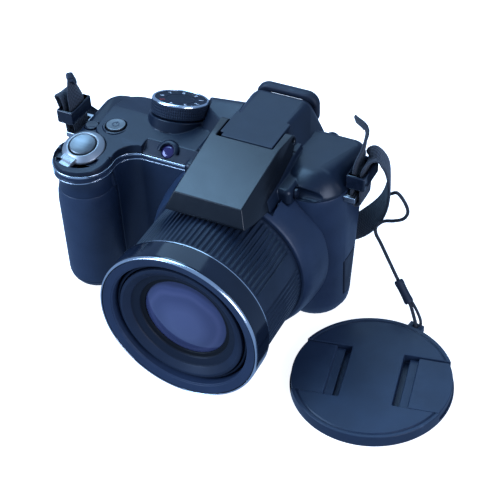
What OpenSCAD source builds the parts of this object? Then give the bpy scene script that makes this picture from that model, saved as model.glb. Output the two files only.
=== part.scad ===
// Bridge camera with a fixed zoom lens, pop-up flash, neck strap and lens cap on a cord.
// Millimetres. Origin at the mouth of the tripod socket, +Z up, the lens looks along -Y.
// The grip is at -X and the lens axis is in the plane x = 0.

/* [Body] */
// Left end of the grip, measured from the lens axis
grip_reach = 75.5; // [72:0.5:80]
// Front of the grip, measured from the socket
grip_depth = 33.6; // [31:0.1:36]
// Right end of the body, measured from the lens axis
right_reach = 38.5; // [36:0.5:42]
// Rear face of the body
rear_y = 24; // [22:0.5:27]
// Front wall of the body between grip and lens
front_y = -10; // [-12:0.5:-8]
// Height of the ridge along the left deck
deck_z = 66; // [64:0.5:68]
// Height of the seam between the lower covers and the top cover
seam_z = 60; // [58:0.5:61]
// Thickness of the base plate
base_t = 2; // [1.5:0.1:3]
// Thickness of the rubber skin on the grip
skin_t = 1.2; // [0.8:0.1:2]

/* [Lens] */
// Height of the lens axis above the base
lens_z = 33.2; // [33:0.1:36]
// Radius of the polished front ring
ring_r = 32.45; // [31:0.05:33]
// Front face of the polished ring
ring_front_y = -66.6; // [-72:0.1:-62]
// Width of the polished ring
ring_w = 10.6; // [8:0.1:13]
// Radius of the ribbed lens barrel
shroud_r = 31; // [30:0.1:31.5]
// Radius of the collar where the barrel leaves the body
collar_r = 35; // [34:0.1:37]
// Outer radius of the first telescoping barrel
stage_one_r = 26.9; // [25:0.1:27]
// Radius of the front glass
glass_r = 16.8; // [15:0.1:17]
// Travel of each telescoping barrel
zoom_travel = 20; // [10:0.5:21]

/* [Flash and viewfinder] */
// Height of the flat top of the viewfinder hump
hump_z = 77.8; // [75:0.1:80]
// Half width of the hump top
hump_half = 11.5; // [10:0.1:13]
// Front lower edge of the flash lid
lid_front_y = -41.4; // [-44:0.1:-38]
// Height of the flash hinge axis
flash_axis_z = 75.4; // [74:0.1:76]
// Distance of the flash hinge axis behind the socket
flash_axis_y = 2.6; // [1:0.1:4]

/* [Controls] */
// Radius of the mode dial
dial_r = 11.5; // [10:0.1:12.5]
// Height of the mode dial
dial_h = 7; // [5:0.1:8]
// Backward tilt of the mode dial in degrees
dial_tilt = 20; // [0:1:24]
// Radius of the zoom lever ring round the shutter button
lever_r = 8.6; // [7.5:0.1:9.5]
// Forward tilt of the shutter button in degrees
shutter_tilt = 12; // [0:1:18]

/* [Power] */
// Diameter of a battery cell
cell_d = 14.2; // [13.5:0.1:14.5]
// Length of a battery cell
cell_l = 50.3; // [49:0.1:50.5]
// Minor radius of the tripod thread
tripod_r = 2.55; // [2.5:0.01:3.2]
// Depth of the tripod thread
tripod_depth = 6; // [4.5:0.1:7]

/* [Cap, cord and strap] */
// Radius of the lens cap
cap_r = 31; // [28:0.1:33]
// Thickness of the lens cap
cap_t = 5; // [4.5:0.1:6]
// Diameter of the cord between strap and cap
cord_d = 1.4; // [1:0.1:2]
// Width of the strap webbing
strap_w = 10; // [8:0.5:11]
// Thickness of the strap webbing
strap_t = 1.2; // [0.9:0.1:1.4]
// Number of folded runs of the strap behind the camera
hank_runs = 7; // [5:2:9]
// Distance from run to run
hank_pitch = 5; // [4:0.1:6]

/* [Hidden] */
$fn = 72;
big = 200;
gap = 0.3;
black = [0.10, 0.11, 0.14];
soft_black = [0.07, 0.08, 0.10];
silver = [0.75, 0.77, 0.80];
glass = [0.25, 0.25, 0.45];

// Round front of the grip and the rounding of its foot
horn_r = 12;
horn_x = -grip_reach + horn_r;
horn_y = -grip_depth + horn_r;
foot_r = 8;
// Its side as [change of radius, height], with a waist for the finger under the trim
horn_side = [[0, 30], [0, 43], [-0.4, 47], [-1.1, 50], [-1.3, 52], [-1.1, 54], [-0.4, 56.4], [0, 58.4],
    [0, 61], [-0.3, 62.2], [-1, 63.2], [-2.4, 64]];
// Flank of the grip: corners of its plan as [x, y, radius]
flank_corners = [[horn_x - 0.8, horn_y + 1.6, 9.5], [-grip_reach + 9, rear_y - 11, 9], [-57.5, -12, 6]];
// Hollow between the grip and the front wall, round in plan and tangent to both
hollow_r = 8;
hollow_y = front_y - hollow_r;
hollow_x = horn_x + sqrt(pow(horn_r + hollow_r, 2) - pow(hollow_y - horn_y, 2));
// The wall between the grip and the middle of the body
well_x = -43.4;
// Round right end of the body
roll_r = 14;
roll_x = right_reach - roll_r;
roll_y = 1.5;
roll_top_z = 69;
// Rear right corner of the body
corner_r = 6;

// Seam between the front and the rear cover
split_y = 15.2;
// Half width of the roof at the flash button
cheek_half = 22.4;
// Ends of the bright trim along the seam
trim_end_x = -19.2;
trim_end_y = 2;
// Hinge axis of the battery door
hinge_x = well_x - 2.6;
hinge_z = 1.9;

// Places of the cells, joined in pairs by the contacts
cell_places = [[-63.4, -23], [-66.2, -8.4], [-52.5, -3.2], [-63.8, 6.4]];
cell_z = 4.6;
cell_bore_r = cell_d / 2 + 0.3;
contact_z = cell_z + cell_l - 0.2;

// Shutter button and zoom lever
shutter_pos = [-65.1, -18.3, 62.2];
// Base of the mode dial
dial_pos = [-39.4, 12.9, 65.6];

// Lens cap
cap_pos = [63.3, -33.4, 0];
cap_turn = 11;
// Direction of the cord eye in the cap
eye_turn = -20.3;
tab_half = 13;
tab_inner = 12.5;

// Places of the screws in the base
screw_places = [[-39.2, 19.2], [18.2, 19.2], [-39.2, -5.4], [24, -1]];
screw_r = 0.9;

// Cylinder along the lens axis between two planes
module lens_disc(y_front, y_rear, r) {
    translate([0, y_rear, lens_z]) rotate([90, 0, 0]) cylinder(h = y_rear - y_front, r = r, $fn = 96);
}

// Tube along the lens axis
module lens_tube(y_front, y_rear, r_out, r_in) {
    difference() {
        lens_disc(y_front, y_rear, r_out);
        lens_disc(y_front - 1, y_rear + 1, r_in);
    }
}

// Body of revolution about the lens axis from points [radius, distance in front of the socket]
module lens_turned(points) {
    translate([0, 0, lens_z]) rotate([90, 0, 0]) rotate_extrude($fn = 96) polygon(points);
}

// Round disc with a rounded rim, used as a corner of the moulded forms
module puck(x, y, z, r, e) {
    translate([x, y, z]) rotate_extrude($fn = 32) intersection() {
        translate([r - e, 0]) circle(e, $fn = 16);
        translate([0, -e]) square([r, 2 * e]);
    }
}

// Box from its lowest to its highest corner
module block(low, high) {
    translate(low) cube(high - low);
}

// Middle of the body
module core_form() {
    hull() {
        for (x = [-61, 20], y = [front_y + 6, rear_y - 6], z = [4, 64]) puck(x, y, z, 6, 4);
    }
}

// Round front of the grip
function horn_outline(inset) = concat(
    [[0, inset]],
    [for (a = [90 : -10 : 0])
        [horn_r - foot_r + (foot_r - inset) * cos(a), foot_r - (foot_r - inset) * sin(a)]],
    [for (p = horn_side) [horn_r + p[0] - inset, p[1]]],
    [[0, 64]]);

module horn(inset = 0) {
    translate([horn_x, horn_y, 0]) rotate_extrude($fn = 96) polygon(horn_outline(inset));
}

// Left side of the grip
module flank(grow = 0) {
    hull() {
        for (p = flank_corners) {
            puck(p[0], p[1], 4, p[2] + grow, 4 + grow);
            puck(p[0], p[1], seam_z, p[2] - 0.5 + grow, 3.5 + grow);
        }
    }
}

// Plan of the hollow between the grip and the front wall
module hollow_outline(grow = 0) {
    share = (horn_r + grow) / (horn_r + hollow_r);
    difference() {
        polygon([[horn_x, horn_y],
            [horn_x + share * (hollow_x - horn_x), horn_y + share * (hollow_y - horn_y)],
            [hollow_x, front_y - grow], [hollow_x, 0], [horn_x, 0]]);
        translate([hollow_x, hollow_y]) circle(hollow_r - grow, $fn = 72);
    }
}

module hollow_form() {
    translate([0, 0, 3.4]) linear_extrude(62) hollow_outline();
}

// Hand grip that holds the cells
module grip_form() {
    horn();
    flank();
    hollow_form();
}

// Right end of the body: a round roll in front and a squarer corner behind
module roll_form(inset = 0) {
    hull() {
        puck(roll_x, roll_y, 8, roll_r - inset, 8 - inset);
        puck(roll_x, roll_y, roll_top_z - 11, roll_r - inset, 11 - inset);
        for (x = [roll_x - 14, roll_x - 2.5])
            puck(x, rear_y - corner_r, 8, corner_r - inset, corner_r - 1 - inset);
        for (x = [roll_x - 14, right_reach - corner_r - 0.5])
            puck(x, rear_y - corner_r, roll_top_z - 4.5, corner_r - inset, 4 - inset);
    }
}

module lower_form() {
    core_form();
    grip_form();
    roll_form();
}

// Bores for the four cells
module cell_bores() {
    for (p = cell_places) translate([p[0], p[1], -1]) cylinder(h = cell_z + cell_l + 4, r = cell_bore_r);
}

// Room for lens, boards and screen
module inner_room() {
    block([well_x + 1.4, front_y + 2, base_t], [21, rear_y - 2, deck_z - 4]);
    translate([roll_x, roll_y, 6]) cylinder(h = 50, r = roll_r - 2);
}

// Bosses that hold the screws of the base
module screw_bosses() {
    for (p = screw_places) translate([p[0], p[1], base_t]) cylinder(h = 2.2, r = 3);
}

module screw_bores() {
    for (p = screw_places) translate([p[0], p[1], 0]) cylinder(h = 6, r = screw_r + 0.02);
}

// Slice of the body that becomes the battery door
module door_zone(grow = 0) {
    block([-big, -big, -1], [well_x - 1 + grow, split_y - 1 + grow, 3 + grow]);
}

// Part of the grip that has the rubber skin
module rubber_zone() {
    block([-big, -big, 6], [big, -17.5, 49]);
}

// Room for the contacts above the cells
module contact_room() {
    block([-70.6, -27, contact_z], [-56, -15, big]);
    block([-72.4, -15.1, contact_z], [-53.2, split_y - 2.5, big]);
    block([-53.3, -8.4, contact_z], [-46, split_y - 2.5, big]);
}

// Panel on the round right end that covers the sockets
module terminal_zone(grow = 0) {
    block([32 - grow, -0.4 - grow, 10 - grow], [60, 12 + grow, 27 + grow]);
}

// Round edge on which the socket cover turns
module terminal_barrel(r) {
    translate([right_reach - 0.9, -0.4, 10]) cylinder(h = 17, r = r, $fn = 32);
}

module front_cover() color(black) {
    difference() {
        union() {
            difference() {
                intersection() {
                    lower_form();
                    block([-big, -big, base_t], [big, split_y, seam_z + 0.6]);
                }
                inner_room();
            }
            intersection() {
                screw_bosses();
                block([-big, front_y + 1, 0], [0, split_y, 10]);
            }
        }
        screw_bores();
        lens_disc(-big, front_y, shroud_r + 0.02);
        block([-big, -big, seam_z - 0.4], [trim_end_x, trim_end_y, big]);
        contact_room();
        cell_bores();
        door_zone(gap);
        translate([hinge_x, -8, hinge_z]) rotate([-90, 0, 0]) cylinder(h = 21.6, r = 2.2);
        lens_disc(front_y - 2, front_y + 4, 22);
        shaft_bore();
        intersection() {
            rubber_zone();
            difference() {
                horn(-1);
                horn(skin_t);
            }
        }
        terminal_zone(gap);
        terminal_barrel(1.5);
    }
}

module rear_cover() color(black) {
    difference() {
        union() {
            difference() {
                intersection() {
                    lower_form();
                    block([-big, split_y, 0.3], [big, big, seam_z + 0.6]);
                }
                inner_room();
            }
            intersection() {
                screw_bosses();
                block([-big, split_y, 0], [big, rear_y - 1, 10]);
            }
        }
        screw_bores();
        block([well_x - 1, -big, -1], [big, big, base_t]);
        cell_bores();
        block([-40.5, rear_y - 3, 8], [20.5, rear_y + 1, 53]);
        thumb_zone();
        rear_bore(movie_pos, 3.3);
        rear_bore(play_pos, 3.3);
        rear_bore(pad_pos, 9.3);
    }
}

// Front to rear line of the left deck
module deck_wedge() {
    translate([-big, 0, 0]) rotate([90, 0, 90]) linear_extrude(big - 12)
        polygon([[-big, 50], [-big, 62.4], [-30, 62.4], [-10, deck_z - 1.7], [7.5, deck_z],
            [rear_y + 8, deck_z - 7.4], [rear_y + 8, 50]]);
}

// Slope in front of the deck, in which the focus lamp sits
module deck_chamfer() {
    translate([hollow_x, 0, 0]) rotate([90, 0, 90]) linear_extrude(34)
        polygon([[front_y - 2, seam_z - 0.5], [front_y - 2, 80], [front_y + 5, 80], [front_y + 5, 64.8]]);
}

// Viewfinder hump behind the flash
module hump_form() {
    hull() {
        for (side = [-1, 1]) {
            translate([side * (hump_half - 3), 8, hump_z - 3]) sphere(3, $fn = 24);
            translate([side * 8.4, 24, hump_z - 5.2]) sphere(5, $fn = 24);
            translate([side * 18, 6, 60]) sphere(3, $fn = 24);
            translate([side * 16, 26, 60]) sphere(3, $fn = 24);
        }
    }
}

// Shoulder that falls from the hump towards the mode dial
module shoulder_form() {
    difference() {
        hull() {
            for (p = [[-14, 20, 69.2], [-30, 20, 67.4], [-35, 20, 62], [-14, 20, 60],
                    [-14, 9, 66], [-24, 9, 61.8]])
                translate(p) sphere(4, $fn = 24);
        }
        dial_frame(0.2, 20, dial_r + 0.6);
    }
}

// Tapering sides shared by the flash lid and the roof below it
module lid_prism(inset = 0) {
    hull() {
        for (side = [-1, 1]) {
            translate([side * (14.6 - inset), 8, 80 - inset]) cube(0.01, center = true);
            translate([side * (13.2 - inset), lid_front_y + 3, 73 - inset]) cube(0.01, center = true);
            translate([side * (18.6 - inset), 8, 60]) cube(0.01, center = true);
            translate([side * (17.6 - inset), lid_front_y - 1, 62]) cube(0.01, center = true);
        }
    }
}

// Roof between the lens barrel and the flash lid
module roof_form() {
    intersection() {
        translate([-18.6, 0, 0]) rotate([90, 0, 90]) linear_extrude(37.2)
            polygon([[-23.7, seam_z], [-23.7, 66.2], [-12, 67.6], [flash_axis_y - 3.2, 70.4],
                [8, 71], [8, seam_z]]);
        lid_prism();
    }
    block([-hump_half + 0.2, -7.3, seam_z], [hump_half - 0.2, 9, hump_z - 0.1]);
}

// Wider part of the roof behind the lens collar; the flash button is in its right side
module cheek_form() {
    hull() {
        for (side = [-1, 1], y = [-14, 4], z = [seam_z - 2, 64.4])
            translate([side * (cheek_half - 2.2), y, z]) sphere(2.2, $fn = 24);
    }
}

module top_cover() color(black) {
    difference() {
        union() {
            intersection() {
                union() {
                    intersection() {
                        union() {
                            core_form();
                            grip_form();
                        }
                        deck_wedge();
                    }
                    roll_form();
                }
                block([-big, -big, seam_z + 0.6], [big, big, 90]);
            }
            intersection() {
                hump_form();
                block([-big, -big, seam_z + 0.6], [big, big, 90]);
            }
            intersection() {
                roof_form();
                block([-big, -big, seam_z + 0.6], [big, big, 90]);
            }
            intersection() {
                dial_frame(-4.5, 0.2, dial_r + 0.6);
                block([-big, -big, seam_z + 0.6], [big, big, 90]);
            }
            intersection() {
                cheek_form();
                block([-big, -big, seam_z + 0.6], [big, big, 90]);
            }
            intersection() {
                shoulder_form();
                block([-big, -big, seam_z + 0.6], [big, big, 90]);
            }
        }
        inner_room();
        block([-9, 9, seam_z], [9, 27.5, hump_z - 2]);
        block([-8, 20, 66], [8, 40, 75]);
        lens_disc(-40, front_y + 2, 32.2);
        deck_chamfer();
        flash_swing_room();
        dial_frame(-8, 1, 3.3);
        shutter_frame(-8, 2, 3.2);
        shutter_frame(-0.1, 6, lever_r + 0.3);
        translate(shutter_pos) rotate([shutter_tilt, 0, 0]) intersection() {
            translate([0, 0, -0.1]) cylinder(h = 8, r = lever_r + 3.4);
            block([-9.4, -20, -1], [9.4, -4, 10]);
        }
        top_bore(power_pos, 4.3, 0.9);
        top_bore(burst_pos, 3.1, 0.6);
        af_bore();
        diopter_bore();
        flash_button_bore();
    }
}

// Cylinder on the axis of the mode dial
module dial_frame(low, high, r) {
    translate(dial_pos) rotate([-dial_tilt, 0, 0]) translate([0, 0, low]) cylinder(h = high - low, r = r);
}

// Cylinder on the axis of the shutter button
module shutter_frame(low, high, r) {
    translate(shutter_pos) rotate([shutter_tilt, 0, 0]) translate([0, 0, low])
        cylinder(h = high - low, r = r);
}

power_pos = [-59.5, -2.8, 65];
burst_pos = [-69.5, -5, 63.4];

// Vertical bore of a button in the deck, with the room for its flange below
module top_bore(pos, r, flange) {
    translate([pos[0], pos[1], seam_z - 6]) cylinder(h = 20, r = r);
    translate([pos[0], pos[1], seam_z - 6]) cylinder(h = 8, r = r + flange);
}

// A button in the deck with a flange that keeps it from falling out
module deck_button(pos, r, flange, crown) {
    foot = seam_z + 1.1;
    rise = pos[2] + crown - foot;
    translate([pos[0], pos[1], foot]) {
        cylinder(h = rise - 0.5, r = r);
        translate([0, 0, rise - 0.5]) cylinder(h = 0.5, r1 = r, r2 = r - 0.5);
        cylinder(h = 0.8, r = r + flange - 0.3);
    }
}

movie_pos = [-49, 0, 54];
play_pos = [-52, 0, 44];
pad_pos = [-55.5, 0, 24];

// Bore through the rear wall
module rear_bore(pos, r) {
    translate([pos[0], rear_y + 4, pos[2]]) rotate([90, 0, 0]) cylinder(h = 10, r = r);
}

// A round button in the rear wall
module rear_button(pos, r, proud) {
    translate([pos[0], rear_y + proud, pos[2]]) rotate([90, 0, 0]) {
        cylinder(h = 0.5, r1 = r - 0.5, r2 = r);
        translate([0, 0, 0.5]) cylinder(h = 4 + proud, r = r);
    }
}

module base_plate() color(black) {
    difference() {
        intersection() {
            lower_form();
            block([well_x - 1 + gap, -big, 0], [big, big, base_t]);
        }
        translate([0, 0, -1]) cylinder(h = 6, r = 5.5);
        for (p = screw_places) translate([p[0], p[1], -1]) cylinder(h = 6, r = 1.6);
    }
}

module tripod_bush() color(silver) {
    difference() {
        union() {
            cylinder(h = tripod_depth + 2, r = 5.5);
            translate([0, 0, base_t]) cylinder(h = 1.6, r = 7.5);
        }
        translate([0, 0, -1]) cylinder(h = tripod_depth + 1, r = tripod_r);
    }
}

module grip_rubber() color(soft_black) {
    intersection() {
        rubber_zone();
        difference() {
            horn();
            horn(skin_t);
        }
    }
}

// Outline of the thumb rest, seen from above
module thumb_outline(grow) {
    translate([-66.4, rear_y - 2.2]) circle(3 + grow, $fn = 32);
    translate([-61.6, rear_y - 2]) circle(2.8 + grow, $fn = 32);
    translate([-66.4, rear_y - 4.6 - grow]) square([4.8, 5.2 + 2 * grow]);
}

module thumb_zone() {
    translate([0, 0, 36.98]) linear_extrude(19.04) thumb_outline(0.02);
}

module thumb_rest() color(soft_black) {
    translate([0, 0, 37]) linear_extrude(19) thumb_outline(0);
}

// Outline of grip and middle at the seam
module seam_outline(grow) {
    translate([horn_x, horn_y]) circle(horn_r + grow, $fn = 96);
    hollow_outline(grow);
    hull() {
        for (p = flank_corners) translate([p[0], p[1]]) circle(p[2] - 0.5 + grow, $fn = 48);
    }
    translate([-61, front_y - grow]) square([61, 12]);
}

module trim_strip() color(silver) {
    translate([0, 0, seam_z - 0.4]) linear_extrude(1)
        difference() {
            intersection() {
                seam_outline(0.3);
                translate([-big, -big]) square([big + trim_end_x, big + trim_end_y]);
            }
            seam_outline(-1.2);
        }
}

module lens_collar() color(black) {
    difference() {
        lens_turned([[shroud_r + 0.02, -front_y], [collar_r + 0.4, -front_y], [collar_r, 16],
            [collar_r - 1, 22], [33, 25], [32.4, 26], [shroud_r + 0.02, 26]]);
        block([-big, -big, -big], [big, big, 0]);
        block([-18.9, -23.99, seam_z + 0.3], [18.9, big, big]);
        block([-cheek_half - 0.3, -16.6, seam_z + 0.3], [cheek_half + 0.3, big, big]);
        block([-19, -big, 62], [19, big, big]);
        block([-big, front_y - 0.6, seam_z - 0.7], [trim_end_x + gap, big, seam_z + 0.9]);
        roll_form();
    }
}

module lens_shroud() color(black) {
    difference() {
        lens_disc(ring_front_y + ring_w, front_y, shroud_r);
        lens_disc(-100, front_y - 2.2, 28.6);
        lens_disc(-100, 20, 23);
        shaft_bore();
        translate([pinion_x, front_y - 2.2, pinion_z]) rotate([90, 0, 0]) cylinder(h = 10, r = 3.9);
    }
}

// Bore for the shaft of the zoom pinion
module shaft_bore() {
    translate([pinion_x, front_y + 4, pinion_z]) rotate([90, 0, 0]) cylinder(h = 8, r = 1.3);
}

module front_ring() color(black) {
    lens_turned([[30.2, -ring_front_y - ring_w], [ring_r, -ring_front_y - ring_w],
        [ring_r, -ring_front_y - 0.8], [ring_r - 0.8, -ring_front_y], [31.4, -ring_front_y],
        [31.4, -ring_front_y - 1], [30.2, -ring_front_y - 2.4]]);
}

module name_ring() color(soft_black) {
    lens_turned([[30.2, -ring_front_y - ring_w], [30.2, -ring_front_y - 2.4], [31.4, -ring_front_y - 1],
        [31.4, -ring_front_y - 0.3], [27.6, -ring_front_y - 1.2], [27.6, -ring_front_y - ring_w]]);
}

stage_front_y = ring_front_y + 2.2;
// Rear end of the first barrel in front of the socket
stage_rear = 24;
// Lip of the first barrel behind the front of the second
lip_back = 1.4;
// Rim of the front glass behind the front of the barrels
glass_back = 4.9;

module stage_one_barrel() color(black) {
    lip = -stage_front_y - lip_back;
    lens_turned([[stage_one_r, stage_rear], [stage_one_r, lip - 0.6],
        [stage_one_r - 0.4, lip], [stage_one_r - 1.2, lip],
        [stage_one_r - 1.2, 34], [12.2, 34], [12.2, 30], [stage_one_r - 1.2, 30],
        [stage_one_r - 1.2, stage_rear]]);
}

module stage_two_barrel() color(black) {
    lens_turned([[stage_one_r - 1.6, 36], [stage_one_r - 1.6, -stage_front_y - 0.8],
        [stage_one_r - 2.2, -stage_front_y - 0.2], [stage_one_r - 2.9, -stage_front_y - 0.2],
        [glass_r + 4.7, -stage_front_y - 2], [glass_r + 4.5, -stage_front_y - 2.5],
        [glass_r + 1.8, -stage_front_y - 3.4], [glass_r + 1.6, -stage_front_y - 4.1],
        [glass_r, -stage_front_y - glass_back + 0.5], [glass_r, -stage_front_y - 16],
        [stage_one_r - 3.2, -stage_front_y - 16], [stage_one_r - 3.2, 36]]);
}

// Glass with a curved front, drawn as half of its section
module front_lens() color(glass) {
    dome = 50;
    rim = -stage_front_y - glass_back;
    lens_turned(concat([[0, rim - 5], [glass_r - 0.02, rim - 5]],
        [for (k = [0 : 8]) let (r = (glass_r - 0.02) * (1 - k / 8))
            [r, rim + sqrt(dome * dome - r * r) - sqrt(dome * dome - glass_r * glass_r)]]));
}

module inner_lens() color(glass) {
    lens_disc(-33.6, -30.4, 12.18);
}

// Ring that turns inside the barrel and drives both telescoping barrels
module cam_ring() color(silver) {
    lens_tube(-stage_rear - zoom_travel - 8, -20, 28.2, 27.3);
    lens_tube(-22, -20, 28.2, 21);
    translate([0, -15.5, lens_z]) rotate([90, 0, 0]) linear_extrude(4.6)
        difference() {
            gear_outline(60, 22.7, 21.6);
            circle(21, $fn = 96);
        }
}

// Outline of a toothed wheel; each tooth is centred on its angle
module gear_outline(teeth, tip, root) {
    polygon([for (k = [0 : teeth - 1], s = [[-0.28, root], [-0.1, tip], [0.1, tip], [0.28, root]])
        let (a = 360 * (k + s[0]) / teeth) [s[1] * cos(a), s[1] * sin(a)]]);
}

// The pinion meshes with the cam ring at this angle above the left side
mesh_angle = 150;
gear_distance = 25.16;
pinion_teeth = 8;
pinion_x = gear_distance * cos(mesh_angle);
pinion_z = lens_z + gear_distance * sin(mesh_angle);
// A gap of the pinion faces the tooth of the cam ring
pinion_turn = mesh_angle + 180 - 180 / pinion_teeth;

module zoom_motor() color(silver) {
    translate([pinion_x, 8, pinion_z]) rotate([90, 0, 0]) difference() {
        cylinder(h = 13, r = 5);
        translate([0, 0, 6]) cylinder(h = 10, r = 0.85);
    }
}

module zoom_pinion() color("goldenrod") {
    translate([pinion_x, -15.3, pinion_z]) rotate([90, 0, 0]) rotate(pinion_turn) linear_extrude(4.2)
        gear_outline(pinion_teeth, 3.4, 2.3);
    translate([pinion_x, 1, pinion_z]) rotate([90, 0, 0]) cylinder(h = 17.6, r = 0.8);
}

module image_sensor() color("darkgreen") {
    lens_disc(front_y + 2, front_y + 4, 23.2);
    translate([-5, front_y + 0.6, lens_z - 4]) cube([10, 1.6, 8]);
}

module main_board() color("darkgreen") {
    block([-40, 8, 6], [19, 9.6, 56]);
    block([-20, 9.6, 24], [-4, 11, 40]);
    block([4, 9.6, 14], [12, 10.8, 22]);
    for (x = [-37, 16], z = [5, 55]) translate([x, rear_y - 2, z + 1]) rotate([90, 0, 0])
        cylinder(h = rear_y - 11.6, r = 1.5);
}

module flash_capacitor() color([0.1, 0.1, 0.3]) {
    translate([-40, 2, 7.6]) rotate([0, 90, 0]) cylinder(h = 32, r = 5.4);
}

// Side view of the flash lid, as points [y, z]
lid_side = [[lid_front_y + 3.6, 72], [-7.5, hump_z - 0.2], [flash_axis_y, hump_z],
    [flash_axis_y + 1.6, hump_z - 0.7], [flash_axis_y + 2.3, flash_axis_z],
    [flash_axis_y + 1.6, flash_axis_z - 1.7], [flash_axis_y, flash_axis_z - 2.3],
    [flash_axis_y - 3.2, 70.8], [-12, 68], [-24, 66.6], [-24, 62.4], [lid_front_y, 65.4]];

// The lid as it would be without its hollow
module lid_form(inset) {
    intersection() {
        translate([-30, 0, 0]) rotate([90, 0, 90]) linear_extrude(60) polygon(lid_side);
        lid_prism(inset);
    }
}

module flash_lid() color(black) {
    difference() {
        lid_form(0);
        intersection() {
            lid_form(1.4);
            translate([-30, 0, 0]) rotate([90, 0, 90]) linear_extrude(60)
                polygon([[lid_front_y + 4.6, 70.6], [-8.8, hump_z - 1.9], [-8.8, 50],
                    [lid_front_y + 1.6, 50], [lid_front_y + 1.6, 65.4]]);
        }
        block([-hump_half - gap + 0.1, -7.6, 50], [hump_half + gap - 0.1, 20, 90]);
        translate([-30, flash_axis_y, flash_axis_z]) rotate([0, 90, 0]) cylinder(h = 60, r = 0.95);
    }
}

// Room in which the rear ends of the lid arms turn
module flash_swing_room() {
    for (side = [-1, 1]) {
        intersection() {
            translate([side < 0 ? -20 : hump_half - 0.1, flash_axis_y, flash_axis_z])
                rotate([0, 90, 0]) cylinder(h = 20 - hump_half + 0.1, r = 2.75);
            block([-30, 0, 60], [30, 20, 90]);
        }
        block([side < 0 ? -30 : hump_half - 0.1, -30, 70.4], [side < 0 ? -hump_half + 0.1 : 30, 2.6, 90]);
    }
}

// Places a piece of the flash lamp in the lid
module at_lamp() {
    translate([0, -30, 65.6]) rotate([38, 0, 0]) children();
}

module flash_lamp() color(silver) {
    at_lamp() {
        difference() {
            block([-11, 0, 0], [11, 4.4, 3.8]);
            block([-10, -1, 0.7], [10, 3.6, 3.1]);
        }
        translate([-10.4, 1.8, 1.9]) rotate([0, 90, 0]) cylinder(h = 20.8, r = 0.8);
    }
    block([-8, -29.6, 70.4], [8, -28, 71.9]);
}

module flash_window() color("white") {
    at_lamp() block([-11.4, -1.02, -0.2], [11.4, -0.02, 4]);
}

flash_button_pos = [cheek_half, -11, 63];

module flash_button_bore() {
    translate(flash_button_pos - [4, 0, 0]) rotate([0, 90, 0]) cylinder(h = 20, r = 2.2);
}

module flash_button() color(black) {
    translate(flash_button_pos - [1.6, 0, 0]) rotate([0, 90, 0]) {
        cylinder(h = 2.2, r = 1.9);
        translate([0, 0, 2.2]) cylinder(h = 0.5, r1 = 1.9, r2 = 1.5);
    }
}

module mode_dial() color(black) {
    difference() {
        union() {
            dial_frame(0.6, dial_h, dial_r);
            dial_frame(-4.4, 1, 3.2);
        }
        dial_frame(dial_h - 1, dial_h + 1, dial_r - 1.2);
    }
}

module dial_cap() color(soft_black) {
    dial_frame(dial_h - 1, dial_h - 0.2, dial_r - 1.22);
}

module zoom_lever() color(silver) {
    difference() {
        union() {
            shutter_frame(0.3, 2.9, lever_r);
            translate(shutter_pos) rotate([shutter_tilt, 0, 0]) rotate([0, 0, -14])
                translate([-2.6, -lever_r - 2.8, 0.9]) cube([5.2, 5, 2]);
        }
        shutter_frame(-1, 4, 5.6);
    }
}

module shutter_button() color(silver) {
    shutter_frame(-4, 3.1, 3.1);
    shutter_frame(0.9, 3.3, 5.3);
}

module power_button() color(silver) {
    deck_button(power_pos, 4, 0.9, 0.7);
}

module burst_button() color(black) {
    deck_button(burst_pos, 2.8, 0.6, 0.7);
}

af_pos = [-33.6, -7.5, 62.9];
af_tilt = 37;

module af_bore() {
    translate(af_pos) rotate([af_tilt, 0, 0]) translate([0, 0, -5]) cylinder(h = 20, r = 2.62);
}

module af_lamp() color([0.5, 0.2, 0.1]) {
    translate(af_pos) rotate([af_tilt, 0, 0]) translate([0, 0, -3]) cylinder(h = 3.4, r = 2.6);
}

module lcd_panel() color([0.15, 0.15, 0.18]) {
    block([-40, rear_y - 6, 8.5], [20, rear_y - 2.8, 52.5]);
}

module lcd_window() color([0.03, 0.03, 0.04]) {
    block([-40.4, rear_y - 2.8, 8.1], [20.4, rear_y + 0.2, 52.9]);
}

// Outline of the eyecup, seen from behind
module eye_outline() {
    for (x = [-eye_x, eye_x], z = [eye_low, eye_high]) translate([x, z]) circle(eye_corner_r, $fn = 48);
    translate([-eye_x - eye_corner_r, eye_low]) square([2 * (eye_x + eye_corner_r), eye_high - eye_low]);
    translate([-eye_x, eye_low - eye_corner_r]) square([2 * eye_x, eye_high - eye_low + 2 * eye_corner_r]);
}

module eyecup() color(soft_black) {
    difference() {
        translate([0, 33.2, 0]) rotate([90, 0, 0]) linear_extrude(4.2) eye_outline();
        block([-8, 0, 66.5], [8, 40, 74.5]);
    }
}

// Middles of the round corners of the eyecup
eye_corner_r = 5.2;
eye_x = 8;
eye_low = 68.3;
eye_high = 72.6;

module eyepiece_lens() color(glass) {
    block([-7.98, 26, 66.02], [7.98, 28.6, 74.98]);
}

diopter_pos = [22, 20.6, 64];
diopter_r = 2.8;

module diopter_bore() {
    translate(diopter_pos) rotate([-90, 0, 0]) cylinder(h = 10, r = diopter_r + gap);
}

module diopter_wheel() color(black) {
    translate(diopter_pos + [0, 0.3, 0]) rotate([-90, 0, 0]) difference() {
        cylinder(h = 4.3, r = diopter_r);
        translate([-0.4, -5, 3.8]) cube([0.8, 10, 2]);
    }
}

module movie_button() color(black) {
    rear_button(movie_pos, 3, 0.5);
}

module play_button() color(black) {
    rear_button(play_pos, 3, 0.5);
}

module control_pad() color(black) {
    difference() {
        rear_button(pad_pos, 9, 0.6);
        rear_bore(pad_pos, 4.6);
    }
}

module ok_button() color(black) {
    rear_button(pad_pos, 4.2, 0.9);
}

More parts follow.
